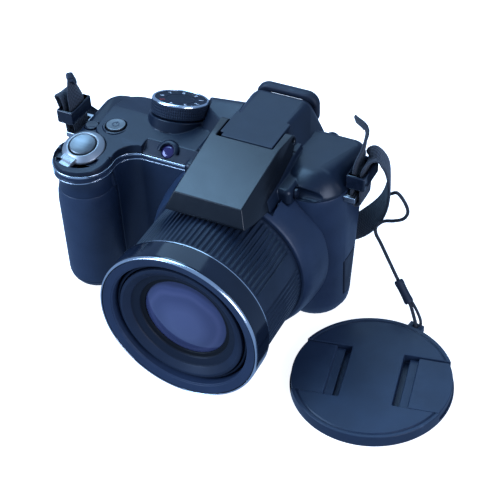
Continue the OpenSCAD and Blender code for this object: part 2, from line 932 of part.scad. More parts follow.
module battery_cells() color([0.35, 0.4, 0.5]) {
    for (p = cell_places) translate([p[0], p[1], cell_z]) {
        cylinder(h = cell_l - 1.6, r = cell_d / 2);
        translate([0, 0, cell_l - 1.7]) cylinder(h = 1.5, r = 2.7);
    }
}

// Spring plate from one cell to the next
module contact_bar(p, q) {
    way = q - p;
    translate([p[0], p[1], contact_z]) rotate([0, 0, atan2(way[1], way[0])])
        translate([-3, -3, 0]) cube([norm(way) + 6, 6, 0.7]);
}

module battery_contacts() color(silver) {
    contact_bar(cell_places[0], cell_places[1]);
    contact_bar(cell_places[2], cell_places[3]);
}

module battery_door() color(black) {
    difference() {
        intersection() {
            lower_form();
            block([-big, -big, 0.5], [hinge_x - 0.2, split_y - 1.5, 3]);
        }
        block([-68.6, -3.8, -1], [-62.6, 5.6, 1.6]);
    }
    translate([hinge_x, -7.4, hinge_z]) rotate([-90, 0, 0]) cylinder(h = 20.4, r = 1.1);
}

module door_latch() color(soft_black) {
    block([-68.3, -0.4, 0.6], [-62.9, 5.3, 1.5]);
}

module terminal_cover() color(soft_black) {
    intersection() {
        difference() {
            roll_form();
            roll_form(1.5);
        }
        terminal_zone(0);
    }
    terminal_barrel(0.75);
}

module terminal_sockets() color(silver) {
    difference() {
        block([12, 1, 11], [33.6, 8, 26]);
        block([29, 2.2, 12.6], [36, 6.8, 16]);
        block([29, 2.2, 18.6], [36, 6.8, 24.2]);
    }
}

// Places of the two strap lugs: outer edge, middle along the body and underside
left_lug = [-80.9, 0, 56.4];
right_lug = [42.4, 5, 57.6];
lug_bar = 1.5;
lug_slot = 2.2;

// Plate with a slot for the webbing; side is -1 for the left and 1 for the right
module lug(place, side) {
    slot_x = place[0] - side * (lug_bar + lug_slot / 2);
    difference() {
        translate([place[0] - side * 4, place[1], place[2] + 1.2]) cube([8, 14.8, 2.4], center = true);
        translate([slot_x, place[1], place[2]]) cube([lug_slot, 11.2, 8], center = true);
    }
}

module strap_lugs() color(silver) {
    difference() {
        lug(left_lug, -1);
        flank(0.05);
    }
    difference() {
        lug(right_lug, 1);
        roll_form(-0.05);
    }
}

module body_screws() color(silver) {
    for (p = screw_places) translate([p[0], p[1], 0.4]) {
        cylinder(h = 1.2, r = 1.58);
        translate([0, 0, 1.2]) cylinder(h = 2.4, r = screw_r);
    }
}

// Puts a piece of the cap at its place on the floor
module at_cap() {
    translate(cap_pos) rotate([0, 0, cap_turn]) children();
}

module cap_tab_shape(side, grow, low, high) {
    intersection() {
        translate([0, 0, low]) cylinder(h = high - low, r = cap_r + (grow > 0 ? 5 : -0.6));
        block([side < 0 ? -60 : tab_inner - grow, -tab_half - grow, low],
            [side < 0 ? -tab_inner + grow : 60, tab_half + grow, high]);
    }
}

module lens_cap() color(black) {
    at_cap() difference() {
        union() {
            cylinder(h = cap_t, r = cap_r);
            rotate([0, 0, eye_turn]) translate([-3, cap_r - 1, 1]) cube([6, 4.6, 3]);
        }
        block([-tab_inner + 4.4, -24, -1], [tab_inner - 4.4, 24, cap_t - 1.8]);
        for (side = [-1, 1]) {
            block([side < 0 ? -60 : tab_inner - 2.4, -tab_half - gap, 1],
                [side < 0 ? -tab_inner + 2.4 : 60, tab_half + gap, 10]);
        }
        rotate([0, 0, eye_turn]) translate([0, cap_r + 1.6, -1]) cylinder(h = 10, r = 1.1, $fn = 24);
        translate([0, 0, cap_t - 0.35]) difference() {
            cylinder(h = 1, r = cap_r - 1.5);
            translate([0, 0, -1]) cylinder(h = 3, r = cap_r - 2.1);
        }
    }
}

module cap_tab(side) {
    at_cap() difference() {
        cap_tab_shape(side, 0, 1.2, cap_t - 0.4);
        block([side < 0 ? -tab_inner - 3.4 : tab_inner - 1, -tab_half - 1, cap_t - 1.8],
            [side < 0 ? -tab_inner + 1 : tab_inner + 3.4, tab_half + 1, cap_t]);
    }
}

module cap_tab_left() color(black) {
    cap_tab(-1);
}

module cap_tab_right() color(black) {
    cap_tab(1);
}

// Smooth curve through points p at place t, counted in points
function spline_at(p, t) = let (
    last = len(p) - 1,
    i = min(floor(t), last - 1),
    u = t - i,
    a = p[max(i - 1, 0)],
    b = p[i],
    c = p[i + 1],
    d = p[min(i + 2, last)]
) 0.5 * (2 * b + (c - a) * u + (2 * a - 5 * b + 4 * c - d) * u * u + (3 * b - 3 * c + d - a) * u * u * u);

function spline_points(p, n) = [for (k = [0 : n]) spline_at(p, (len(p) - 1) * k / n)];
function unit(v) = v / norm(v);
function heading(p, i) = unit(p[min(i + 1, len(p) - 1)] - p[max(i - 1, 0)]);

// Swept solid: one ring of corners per point, closed at both ends
module swept(rings) {
    sides = len(rings[0]);
    count = len(rings);
    polyhedron(points = [for (ring = rings) each ring],
        faces = concat(
            [for (k = [1 : sides - 2]) [0, k + 1, k]],
            [for (k = [1 : sides - 2]) (count - 1) * sides * [1, 1, 1] + [0, k, k + 1]],
            [for (i = [0 : count - 2], k = [0 : sides - 1])
                let (a = i * sides + k, b = i * sides + (k + 1) % sides)
                    each [[a, b, b + sides], [a, b + sides, a + sides]]]));
}

// Corners of flat webbing at point i; w holds the direction of its width
function band_ring(p, w, i) = let (
    along = heading(p, i),
    across = unit(w[i] - along * (w[i] * along)) * strap_w / 2,
    thick = unit(cross(along, across)) * strap_t / 2
) [p[i] - across - thick, p[i] + across - thick, p[i] + across + thick, p[i] - across + thick];

module band(points, widths, n) {
    p = spline_points(points, n);
    w = spline_points(widths, n);
    swept([for (i = [0 : n]) band_ring(p, w, i)]);
}

// Round cord of 8 sides
function cord_ring(p, i) = let (
    along = heading(p, i),
    across = unit(cross(along, [0.1, 0.97, 0.2])),
    other = cross(along, across)
) [for (k = [0 : 7]) p[i] + cord_d / 2 * (cos(45 * k) * across + sin(45 * k) * other)];

// Route of the cap cord from the strap to the eye of the cap
cord_route = [[48.6, 19, 49], [51.8, 17.5, 51.5], [55, 17, 48.6], [56.6, 17, 44.2], [55, 17, 40.2],
    [50.8, 18, 37], [46.5, 18.5, 35], [44, 17, 32.8], [44.6, 15, 30.8], [47.7, 13, 28], [52.4, 10, 23.2],
    [57.4, 7.5, 17], [60.8, 5.6, 13.5], [64.2, 3.7, 10], [66.6, 1.2, 7.4], [68.2, -0.8, 6], [68.6, -1.2, 4.6],
    [68.6, -1.2, 1.4]];
slider_from = 11;
slider_to = 13;

module cap_cord() color(soft_black) {
    p = spline_points(cord_route, 60);
    swept([for (i = [0 : 60]) cord_ring(p, i)]);
}

module cord_slider() color(soft_black) {
    axis = cord_route[slider_to] - cord_route[slider_from];
    translate(cord_route[slider_from]) rotate([0, acos(axis[2] / norm(axis)), atan2(axis[1], axis[0])])
        difference() {
            cylinder(h = norm(axis), r = 1.9);
            translate([0, 0, -1]) cylinder(h = norm(axis) + 2, r = cord_d / 2 + 0.3);
        }
}

// Strap from its loose end through the left lug and down behind the body
left_route = [[-83.2, 4.4, 77.4], [-81, 1.9, 74.4], [-78.9, -0.3, 70], [-78.9, -0.3, 64], [-78.3, 0, 60],
    [-78.3, 0, 57], [-78.8, 0, 54.4], [-80.3, 0, 53.4], [-81.7, 0, 54.8], [-82, 0, 58], [-82, -0.3, 64],
    [-82, 0, 68.5], [-83.2, 0.6, 71.8], [-85.6, 2, 71.4], [-87, 4.5, 66], [-87, 9, 58], [-86, 16, 50],
    [-84.5, 25, 41], [-82.5, 36, 30], [-80.5, 47, 18], [-78, 56, 9], [-70, 62, 5.4]];
left_width = [[-0.36, 0.67, -0.66], [-0.2, 0.9, -0.35], for (k = [1 : 11]) [0, 1, 0],
    [0.1, 1, 0], [0.2, 1, 0.4], [0.5, 1, 0.6],
    [1, 0.7, 0.6], [1, 0.3, 0.3], [1, 0, 0.2], [0.9, 0, 0.6], [0.4, 0, 1], [0, 0, 1]];
right_route = [[36.4, 12, 85.4], [41.2, 10.6, 83], [41.4, 8.8, 78], [40.3, 6.4, 71], [40.2, 6, 64],
    [39.8, 5, 60], [39.8, 5, 57.4], [40.3, 5, 55.6], [41.8, 5, 54.6], [43.2, 5, 56], [43.5, 5, 59],
    [43.4, 6, 64], [43.4, 6.5, 69.5], [44.6, 8, 73], [46.8, 11, 71.6], [48.4, 15, 64], [47.8, 19, 52.5],
    [44.5, 22.5, 40], [38, 26.5, 28], [28.6, 29.6, 16.5], [17, 31.6, 8.5], [6, 32, 5.4]];
right_width = [[-0.36, 0.67, -0.66], [-0.36, 0.67, -0.66], [-0.25, 0.9, -0.3], for (k = [1 : 10]) [0, 1, 0],
    [-0.3, 1, 0], [-0.5, 1, 0.2], [-0.4, 1, 0.3], [-0.4, 1, 0.5], [-0.4, 0.8, 0.7], [-0.3, 0.4, 1],
    [-0.1, 0, 1], [0, 0, 1], [0, 0, 1]];

module strap_left() color(soft_black) {
    band(left_route, left_width, 80);
}

module strap_right() color(soft_black) {
    band(right_route, right_width, 80);
}

// The rest of the strap, folded to and fro on its edge
hank_right_x = 0;
hank_left_x = -64;
hank_y = 32;
hank_fold = hank_pitch / 2;
fold_steps = 6;
hank_route = concat([[6, hank_y, strap_w / 2 + 0.4]],
    [for (run = [0 : hank_runs - 1]) let (left = run % 2 == 0, y = hank_y + run * hank_pitch) each concat(
        [for (k = [0 : 4]) let (u = k / 4, x = left ? u : 1 - u)
            [hank_right_x + (hank_left_x - hank_right_x) * x, y, strap_w / 2 + 0.4]],
        run == hank_runs - 1 ? [] : [for (k = [1 : fold_steps - 1]) let (a = 180 * k / fold_steps - 90)
            [(left ? hank_left_x - hank_fold * cos(a) : hank_right_x + hank_fold * cos(a)),
                y + hank_fold + hank_fold * sin(a), strap_w / 2 + 0.4]])],
    [[-70, hank_y + (hank_runs - 1) * hank_pitch, strap_w / 2 + 0.4]]);

module strap_hank() color(soft_black) {
    swept([for (i = [0 : len(hank_route) - 1])
        band_ring(hank_route, [for (q = hank_route) [0, 0, 1]], i)]);
}

// Frames that hold the doubled webbing
module keeper(middle) {
    translate(middle) difference() {
        cube([7.4, 14.4, 6], center = true);
        cube([5.4, 12, 20], center = true);
    }
}

module strap_keepers() color(soft_black) {
    keeper([-80.4, -0.2, 65.6]);
    keeper([41.8, 6.2, 66]);
}

hank_gap = min([for (i = [0 : len(hank_route) - 1], j = [0 : len(hank_route) - 1]) if (j > i + 8)
    norm(hank_route[i] - hank_route[j]) - strap_t]);
echo(least_gap_between_strap_runs = hank_gap);

front_cover();
rear_cover();
top_cover();
base_plate();
tripod_bush();
grip_rubber();
thumb_rest();
trim_strip();
lens_collar();
lens_shroud();
front_ring();
name_ring();
stage_one_barrel();
stage_two_barrel();
front_lens();
inner_lens();
cam_ring();
zoom_motor();
zoom_pinion();
image_sensor();
main_board();
flash_capacitor();
flash_lid();
flash_lamp();
flash_window();
flash_button();
mode_dial();
dial_cap();
zoom_lever();
shutter_button();
power_button();
burst_button();
af_lamp();
lcd_panel();
lcd_window();
eyecup();
eyepiece_lens();
diopter_wheel();
movie_button();
play_button();
control_pad();
ok_button();
battery_cells();
battery_contacts();
battery_door();
door_latch();
terminal_cover();
terminal_sockets();
strap_lugs();
body_screws();
lens_cap();
cap_tab_left();
cap_tab_right();
cap_cord();
cord_slider();
strap_left();
strap_hank();
strap_right();
strap_keepers();
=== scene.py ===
"""Looks of the bridge camera: strap and cord, finishes, softened covers, lens, controls and cap."""
import math

import bmesh
import bpy
from mathutils import Matrix, Vector


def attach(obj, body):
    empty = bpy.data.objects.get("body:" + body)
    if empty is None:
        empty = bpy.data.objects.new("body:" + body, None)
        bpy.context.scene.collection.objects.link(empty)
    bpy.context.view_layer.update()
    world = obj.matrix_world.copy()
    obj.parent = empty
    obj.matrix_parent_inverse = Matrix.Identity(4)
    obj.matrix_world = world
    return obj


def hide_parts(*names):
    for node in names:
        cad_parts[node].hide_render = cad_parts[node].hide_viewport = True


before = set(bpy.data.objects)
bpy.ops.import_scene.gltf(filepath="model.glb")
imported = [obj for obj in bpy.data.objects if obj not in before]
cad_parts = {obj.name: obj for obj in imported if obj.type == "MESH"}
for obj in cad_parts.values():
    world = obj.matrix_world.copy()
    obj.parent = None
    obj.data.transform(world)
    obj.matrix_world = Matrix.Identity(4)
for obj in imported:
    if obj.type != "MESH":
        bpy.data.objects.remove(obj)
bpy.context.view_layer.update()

MM = 0.001


def at(x, y, z):
    """A point given in millimetres."""
    return Vector((x, y, z)) * MM


def shift(x, y, z):
    """Move by millimetres."""
    return Matrix.Translation(at(x, y, z))


def turn(degrees, axis="Z"):
    """Turn about an axis."""
    return Matrix.Rotation(math.radians(degrees), 4, axis)


def aimed(place, way):
    """Frame at a place in metres, with Z along a direction."""
    return Matrix.Translation(place) @ way.to_track_quat("Z", "Y").to_matrix().to_4x4()


# Frames of the turned pieces, in which Z points out of the camera
LENS_Z = 33.2
LENS = shift(0, 0, LENS_Z) @ turn(90, "X")
DIAL = shift(-39.4, 12.9, 65.6) @ turn(-20, "X")
SHUTTER = shift(-65.1, -18.3, 62.2) @ turn(12, "X")
LAMP_SEAT = shift(-33.6, -7.5, 62.9) @ turn(37, "X")
FLASH_RELEASE = shift(22.4, -11, 63) @ turn(90, "Y")

# Spots of the buttons: x and y in the deck, x and z on the back
REAR_Y = 24.0
POWER_SPOT = (-59.5, -2.8)
BURST_SPOT = (-69.5, -5)
MOVIE_SPOT = (-49, 54)
PLAY_SPOT = (-52, 44)
PAD_SPOT = (-55.5, 24)
DIOPTER_SPOT = (22, 64)


def rear(spot, proud=0.0):
    """Frame on the back of the camera, or that far behind it, with Z pointing out of it."""
    return shift(spot[0], REAR_Y + proud, spot[1]) @ turn(-90, "X")


# Camera at the angle of the photograph
view = bpy.data.cameras.new("view")
view.sensor_width = 36
view.lens = 94.58
view.clip_start = 0.01
eye = bpy.data.objects.new("view", view)
eye.matrix_world = Matrix(((0.8964, -0.2653, 0.3552, 0.1853), (0.4418, 0.6001, -0.6668, -0.35492),
                           (-0.0362, 0.7546, 0.6551, 0.36581), (0, 0, 0, 1)))
bpy.context.scene.collection.objects.link(eye)
bpy.context.scene.camera = eye
bpy.context.scene.view_settings.view_transform = "Standard"


# Node helpers for the finishes
def fill(tree, node, sockets):
    """Sets or links the sockets of a node."""
    for key, value in sockets.items():
        if isinstance(value, bpy.types.NodeSocket):
            tree.links.new(value, node.inputs[key])
        else:
            node.inputs[key].default_value = value


def add(tree, kind, sockets=None, **settings):
    """New node with its settings, values and links."""
    made = tree.nodes.new(kind)
    for key, value in settings.items():
        setattr(made, key, value)
    fill(tree, made, sockets or {})
    return made


def blank(name):
    """New material, its tree, its shader and the coordinates of its piece."""
    made = bpy.data.materials.new(name)
    made.use_nodes = True
    tree = made.node_tree
    return made, tree, tree.nodes["Principled BSDF"], add(tree, "ShaderNodeTexCoord").outputs["Object"]


def reckon(tree, operation, *values):
    """Result of a sum with numbers or sockets."""
    return add(tree, "ShaderNodeMath", dict(enumerate(values)), operation=operation).outputs[0]


def spread(tree, value, low, high, start=0.3, stop=0.7):
    """A texture value carried over to another range."""
    return add(tree, "ShaderNodeMapRange", {"Value": value, "From Min": start, "From Max": stop,
                                            "To Min": low, "To Max": high}).outputs["Result"]


def mixed(tree, share, first, second):
    """Colour between two colours."""
    ends = [c if isinstance(c, bpy.types.NodeSocket) else (*c, 1) for c in (first, second)]
    return add(tree, "ShaderNodeMix", {0: share, 6: ends[0], 7: ends[1]}, data_type="RGBA").outputs[2]


def noise(tree, coords, size, detail=4.0):
    """Noise whose features have about that size in millimetres."""
    return add(tree, "ShaderNodeTexNoise",
               {"Vector": coords, "Scale": 1 / (size * MM), "Detail": detail}).outputs[0]


def relief(tree, shader, height, depth, strength):
    """Bump of that depth in millimetres."""
    bump = add(tree, "ShaderNodeBump", {"Height": height, "Distance": depth * MM, "Strength": strength})
    tree.links.new(bump.outputs[0], shader.inputs["Normal"])


def axis_reach(tree, coords, drop=0.0):
    """Distance from the lens axis, or from a line that many millimetres below it."""
    flat = add(tree, "ShaderNodeVectorMath", {0: coords, 1: (1, 0, 1)}, operation="MULTIPLY").outputs[0]
    return add(tree, "ShaderNodeVectorMath", {0: flat, 1: (0, 0, (LENS_Z - drop) * MM)},
               operation="DISTANCE").outputs["Value"]


def ring_edge(tree, reach, radius, blur, inner, outer):
    """Share that goes over from one value to another at a radius in millimetres."""
    return spread(tree, reach, inner, outer, (radius - blur) * MM, (radius + blur) * MM)


# Finishes
def finish(name, dark, light, rough, grain, depth, pattern="fine", metal=0.0, coat=0.0, worn=None,
           stretch=(1, 1, 1), shine=0.35, shade_rings=()):
    """Moulded, rubbery or plated surface: patchy colour, worn edges, uneven sheen and a grain of that size.

    Shade rings give a radius round the lens axis and the darker colour painted inside it, as painted shade.
    """
    made, tree, shader, coords = blank(name)
    coords = add(tree, "ShaderNodeMapping", {"Vector": coords, "Scale": stretch}).outputs[0]
    colour = mixed(tree, spread(tree, noise(tree, coords, 14), 0, 1), dark, light)
    if worn:
        edge = add(tree, "ShaderNodeNewGeometry").outputs["Pointiness"]
        scuff = spread(tree, noise(tree, coords, 2.4, 6), 0, 1, 0.42, 0.62)
        share = reckon(tree, "MULTIPLY", spread(tree, edge, 0, 0.55, 0.56, 0.66), scuff)
        colour = mixed(tree, share, colour, worn)
    # Painted shade: the darker colour inside each radius round the lens axis
    for radius, inner in shade_rings:
        colour = mixed(tree, ring_edge(tree, axis_reach(tree, coords), radius, 0.1, 1, 0), colour, inner)
    if pattern == "pebble":
        cells = add(tree, "ShaderNodeTexVoronoi", {"Vector": coords, "Scale": 1 / (grain * MM)})
        height = spread(tree, cells.outputs["Distance"], 1, 0, 0, 0.8)
    else:
        height = noise(tree, coords, grain, 3)
    relief(tree, shader, height, depth, 0.6)
    fill(tree, shader, {
        "Base Color": colour, "Roughness": spread(tree, noise(tree, coords, 5.0, 6), *rough),
        "Metallic": metal, "Specular IOR Level": shine, "Coat Weight": coat, "Coat Roughness": 0.08})
    return made


def dusty(tree, shader, coords, clean, dull, depth):
    """Uneven gloss of a glass with a little dust on it."""
    dust = noise(tree, coords, 1.6, 8)
    fill(tree, shader, {"Roughness": spread(tree, dust, clean, dull, 0.55, 0.75)})
    relief(tree, shader, dust, depth, 0.1)


def clear(name, tint, through, rough, coat):
    """Glass with a faint coating and a little dust on it."""
    made, tree, shader, coords = blank(name)
    dusty(tree, shader, coords, rough, rough + 0.06, 0.004)
    colour = mixed(tree, spread(tree, noise(tree, coords, 9), 0, 1), tint, [c * 0.8 for c in tint])
    fill(tree, shader, {"Base Color": colour, "Transmission Weight": through, "IOR": 1.5,
                        "Coat Weight": coat, "Coat Tint": (0.62, 0.55, 1, 1)})
    return made


def painted_reflection_front(name):
    """Front glass: a violet coating over what shows through from behind, with a painted reflection in its
    colour, pale a little below the middle and darker in rings towards the rim.
    """
    made, tree, shader, coords = blank(name)
    dusty(tree, shader, coords, 0.04, 0.10, 0.003)
    reflection_edge_noise = spread(tree, noise(tree, coords, 15, 1), -1.1 * MM, 1.1 * MM)
    reach = reckon(tree, "ADD", axis_reach(tree, coords, 1.5), reflection_edge_noise)
    # Painted reflection: the pale middle colour and the darker colour around it, ragged at its edge by noise
    middle, around = (0.128, 0.144, 0.225), (0.082, 0.095, 0.165)
    colour = mixed(tree, spread(tree, reach, 0, 1, 6 * MM, 10.5 * MM), middle, around)
    # Painted reflection fading in rings to dark at the rim
    for radius, tone in ((12.6, (0.112, 0.122, 0.205)), (14.4, (0.080, 0.094, 0.172)),
                         (16.6, (0.040, 0.048, 0.095))):
        colour = mixed(tree, ring_edge(tree, reach, radius, 0.7, 0, 1), colour, tone)
    fill(tree, shader, {"Base Color": colour, "Transmission Weight": 0.25, "Coat Weight": 0.4,
                        "Coat Tint": (0.7, 0.68, 1, 1)})
    return made


def woven(name, dark, light, along, across, depth):
    """Webbing or braid: threads crossing on the piece's own lengthwise map, sizes in millimetres."""
    made, tree, shader, coords = blank(name)
    place = add(tree, "ShaderNodeUVMap", uv_map="thread").outputs[0]
    parts = add(tree, "ShaderNodeSeparateXYZ", {0: place})
    waves = []
    for axis, pitch in ((0, along), (1, across)):
        turns = reckon(tree, "MULTIPLY", parts.outputs[axis], 2 * math.pi / (pitch * MM))
        waves.append(reckon(tree, "SINE", turns))
    cross = reckon(tree, "MULTIPLY", *waves)
    height = reckon(tree, "ADD", cross, noise(tree, coords, 0.35, 5))
    relief(tree, shader, height, depth, 0.7)
    fill(tree, shader, {
        "Base Color": mixed(tree, spread(tree, height, 0, 1, -0.5, 1.5), dark, light),
        "Roughness": spread(tree, noise(tree, coords, 4), 0.6, 0.85), "Sheen Weight": 0.15})
    return made


def screen_finish(name):
    """Dark display glass with a slightly lighter picture area behind it."""
    made, tree, shader, coords = blank(name)
    parts = add(tree, "ShaderNodeSeparateXYZ", {0: coords})
    inside = []
    for axis, middle, half in ((0, -10.0, 27.6), (2, 30.5, 19.6)):
        off = reckon(tree, "ABSOLUTE", reckon(tree, "ADD", parts.outputs[axis], -middle * MM))
        inside.append(spread(tree, off, 1, 0, half * MM, (half + 0.15) * MM))
    share = reckon(tree, "MULTIPLY", *inside)
    smear = noise(tree, coords, 11, 7)
    relief(tree, shader, smear, 0.005, 0.1)
    fill(tree, shader, {
        "Base Color": mixed(tree, share, (0.004, 0.004, 0.006), (0.018, 0.021, 0.03)),
        "Roughness": spread(tree, smear, 0.03, 0.14, 0.45, 0.75), "Coat Weight": 0.6})
    return made


SHELL = finish("moulded_black", (0.013, 0.023, 0.046), (0.020, 0.033, 0.064), (0.36, 0.44), 0.28, 0.026,
               worn=(0.05, 0.07, 0.11))
# Painted shade: the deck and the flash lid are darker copies of the moulded black, while the sides and grip
# keep the lighter blue
DECK_SHADED = finish("deck_black_painted_shade", (0.005, 0.009, 0.018), (0.008, 0.014, 0.027), (0.30, 0.36), 0.25, 0.011,
              worn=(0.05, 0.07, 0.11), shine=0.36)
LID_SHADED = finish("lid_satin_black_painted_shade", (0.0035, 0.0045, 0.0065), (0.006, 0.0075, 0.010), (0.21, 0.25), 0.22, 0.008,
             worn=(0.05, 0.055, 0.065), shine=0.42)
RUBBER = finish("grip_rubber_black", (0.016, 0.028, 0.056), (0.025, 0.040, 0.076), (0.40, 0.50), 0.75, 0.060,
                pattern="pebble", worn=(0.035, 0.045, 0.07), shine=0.5)
SOFT = finish("soft_rubber", (0.008, 0.012, 0.022), (0.013, 0.019, 0.034), (0.45, 0.6), 0.4, 0.03,
              worn=(0.04, 0.04, 0.05))
GLOSS = finish("gloss_black", (0.004, 0.007, 0.014), (0.007, 0.011, 0.021), (0.10, 0.16), 1.2, 0.003,
               worn=(0.05, 0.06, 0.09), shine=0.5)
BARREL = finish("barrel_black", (0.008, 0.014, 0.026), (0.013, 0.021, 0.038), (0.34, 0.42), 0.2, 0.012,
                worn=(0.05, 0.06, 0.09))
FLAT = finish("lens_matt_black", (0.016, 0.027, 0.054), (0.023, 0.037, 0.074), (0.42, 0.52), 0.18, 0.008)
# Painted shade deep in the lens: darker inside 21.5 mm, near black inside 18.5 mm
CONE_PAINTED_SHADE = finish("cone_black_painted_shade", (0.010, 0.016, 0.031), (0.015, 0.023, 0.043), (0.46, 0.56), 0.18, 0.008,
              shine=0.25, shade_rings=((21.5, (0.007, 0.011, 0.021)), (18.5, (0.0012, 0.0016, 0.003))))
DIAL_TOP = finish("dial_top_black", (0.003, 0.006, 0.013), (0.005, 0.009, 0.019), (0.46, 0.56), 0.3, 0.005,
                  worn=(0.05, 0.06, 0.09), shine=0.22)
CHROME = finish("bright_trim", (0.62, 0.66, 0.70), (0.74, 0.77, 0.80), (0.16, 0.24), 0.5, 0.004, metal=1.0,
                worn=(0.85, 0.86, 0.88))
SATIN = finish("satin_plate", (0.14, 0.145, 0.15), (0.18, 0.185, 0.19), (0.32, 0.40), 0.15, 0.004,
               metal=1.0, stretch=(1, 9, 1))
LEVER = finish("lever_silver", (0.31, 0.315, 0.32), (0.40, 0.405, 0.41), (0.36, 0.44), 0.4, 0.004,
               metal=0.8)
STEEL = finish("steel", (0.40, 0.41, 0.43), (0.55, 0.56, 0.58), (0.22, 0.36), 0.3, 0.006, metal=1.0,
               stretch=(1, 1, 7))
BRASS = finish("brass", (0.55, 0.38, 0.14), (0.68, 0.50, 0.22), (0.25, 0.4), 0.3, 0.006, metal=1.0)
PAINT = finish("white_marks", (0.62, 0.64, 0.68), (0.78, 0.79, 0.82), (0.4, 0.55), 0.2, 0.004)
RED = finish("red_mark", (0.45, 0.03, 0.02), (0.60, 0.05, 0.04), (0.35, 0.5), 0.2, 0.004)
CAP_BLACK = finish("cap_black", (0.013, 0.022, 0.042), (0.019, 0.032, 0.060), (0.32, 0.40), 0.3, 0.018,
                   worn=(0.06, 0.08, 0.12))
BOARD = finish("board_green", (0.010, 0.06, 0.03), (0.02, 0.11, 0.05), (0.3, 0.5), 1.1, 0.05,
               pattern="pebble")
CELL = finish("cell_jacket", (0.10, 0.13, 0.20), (0.16, 0.20, 0.28), (0.2, 0.3), 0.6, 0.005, coat=0.4)
GLASS = clear("plain_glass", (0.80, 0.84, 1.0), 1.0, 0.0, 0.6)
# Front glass with a painted reflection in its colour
FRONT_PAINTED_REFLECTION = painted_reflection_front("front_glass_painted_reflection")
COATED = clear("coated_glass", (0.070, 0.082, 0.165), 0.0, 0.05, 0.6)
LAMP = clear("lamp_lens", (0.05, 0.035, 0.10), 0.2, 0.05, 0.8)
DIFFUSER = clear("flash_diffuser", (0.82, 0.86, 0.92), 0.35, 0.2, 0.3)
SCREEN = screen_finish("screen_glass")
WEBBING = woven("strap_webbing", (0.006, 0.008, 0.014), (0.026, 0.032, 0.046), 1.5, 1.1, 0.14)
BRAID = woven("cord_braid", (0.006, 0.007, 0.011), (0.030, 0.034, 0.044), 0.9, 0.55, 0.08)


# Mesh helpers
def turned(outline, steps=96, closed=True):
    """Body of revolution about Z from (radius, height) points in millimetres."""
    bm = bmesh.new()
    verts = [bm.verts.new((r * MM, 0, h * MM)) for r, h in outline]
    pairs = list(zip(verts, verts[1:])) + ([(verts[-1], verts[0])] if closed else [])
    edges = [bm.edges.new(pair) for pair in pairs]
    bmesh.ops.spin(bm, geom=verts + edges, cent=(0, 0, 0), axis=(0, 0, 1), angle=2 * math.pi, steps=steps,
                   use_merge=True)
    bmesh.ops.remove_doubles(bm, verts=bm.verts, dist=1e-7)
    return bm


def block(low, high):
    """Box from its lowest to its highest corner in millimetres."""
    low, high = at(*low), at(*high)
    bm = bmesh.new()
    bmesh.ops.create_cube(bm, size=1)
    bmesh.ops.scale(bm, vec=high - low, verts=bm.verts)
    bmesh.ops.translate(bm, vec=(low + high) / 2, verts=bm.verts)
    return bm


def fluted(bm, count, depth, low, high, least, skip=None):
    """Presses flutes into a turned wall, between two heights and outside a radius, in millimetres.

    Where the wave is above one level the wall stays, below the other it is pressed in. Skip gives the
    angles between which the wall stays plain.
    """
    crest, trough = 0.4, -0.2
    for v in bm.verts:
        r, h = math.hypot(v.co.x, v.co.y) / MM, v.co.z / MM
        if not (low <= h <= high and r > least):
            continue
        angle = math.atan2(v.co.y, v.co.x)
        if skip and skip[0] < math.degrees(angle) < skip[1]:
            continue
        share = (crest - math.cos(angle * count)) / (crest - trough)
        v.co.xy *= (r - depth * min(max(share, 0.0), 1.0)) / r
    return bm


def copy_of(node):
    """Merged copy of a CAD node, with its flat faces joined up."""
    bm = bmesh.new()
    bm.from_mesh(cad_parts[node].data)
    bmesh.ops.remove_doubles(bm, verts=bm.verts, dist=0.02 * MM)
    bmesh.ops.dissolve_degenerate(bm, edges=bm.edges, dist=0.04 * MM)
    bmesh.ops.dissolve_limit(bm, angle_limit=math.radians(1.5), use_dissolve_boundaries=False,
                             verts=bm.verts, edges=bm.edges)
    return bm


def within(edge, boxes):
    """Whether the middle of an edge lies in one of the boxes, which are in millimetres."""
    middle = (edge.verts[0].co + edge.verts[1].co) / 2 / MM
    return any(all(a < m < b for a, m, b in zip(low, middle, high)) for low, high in boxes)


def soften(bm, width, least=28, steps=2, boxes=()):
    """Rounds every edge that is sharper than an angle, but none in the boxes."""
    sharp = [e for e in bm.edges if e.is_manifold and e.calc_face_angle(0) > math.radians(least)
             and not within(e, boxes)]
    bmesh.ops.bevel(bm, geom=sharp, offset=width * MM, offset_type="OFFSET", segments=steps, profile=0.5,
                    affect="EDGES", clamp_overlap=False, material=-1, loop_slide=True, miter_outer="ARC")
    bmesh.ops.remove_doubles(bm, verts=bm.verts, dist=0.01 * MM)
    return bm


def digits(text, size, thick):
    """Raised figures of that height in millimetres, flat on the XY plane."""
    curve = bpy.data.curves.new("figures", "FONT")
    curve.body = text
    curve.size = size * MM
    curve.extrude = thick / 2 * MM
    curve.resolution_u = 3
    curve.align_x = "CENTER"
    curve.align_y = "CENTER"
    holder = bpy.data.objects.new("figures", curve)
    mesh = bpy.data.meshes.new_from_object(holder)
    bm = bmesh.new()
    bm.from_mesh(mesh)
    bpy.data.objects.remove(holder)
    bpy.data.meshes.remove(mesh)
    bpy.data.curves.remove(curve)
    return bm


def arrow(size, thick):
    """Small raised triangle that points along Y."""
    bm = bmesh.new()
    bmesh.ops.create_cone(bm, cap_ends=True, segments=3, radius1=size * MM, radius2=size * MM,
                          depth=thick * MM)
    return bm


def moved(bm, place):
    """The mesh at another place."""
    bmesh.ops.transform(bm, matrix=place, verts=bm.verts)
    return bm


def joined(*parts):
    """One mesh of several, which are used up."""
    whole = bmesh.new()
    for bm in parts:
        scratch = bpy.data.meshes.new("scratch")
        bm.to_mesh(scratch)
        bm.free()
        whole.from_mesh(scratch)
        bpy.data.meshes.remove(scratch)
    return whole


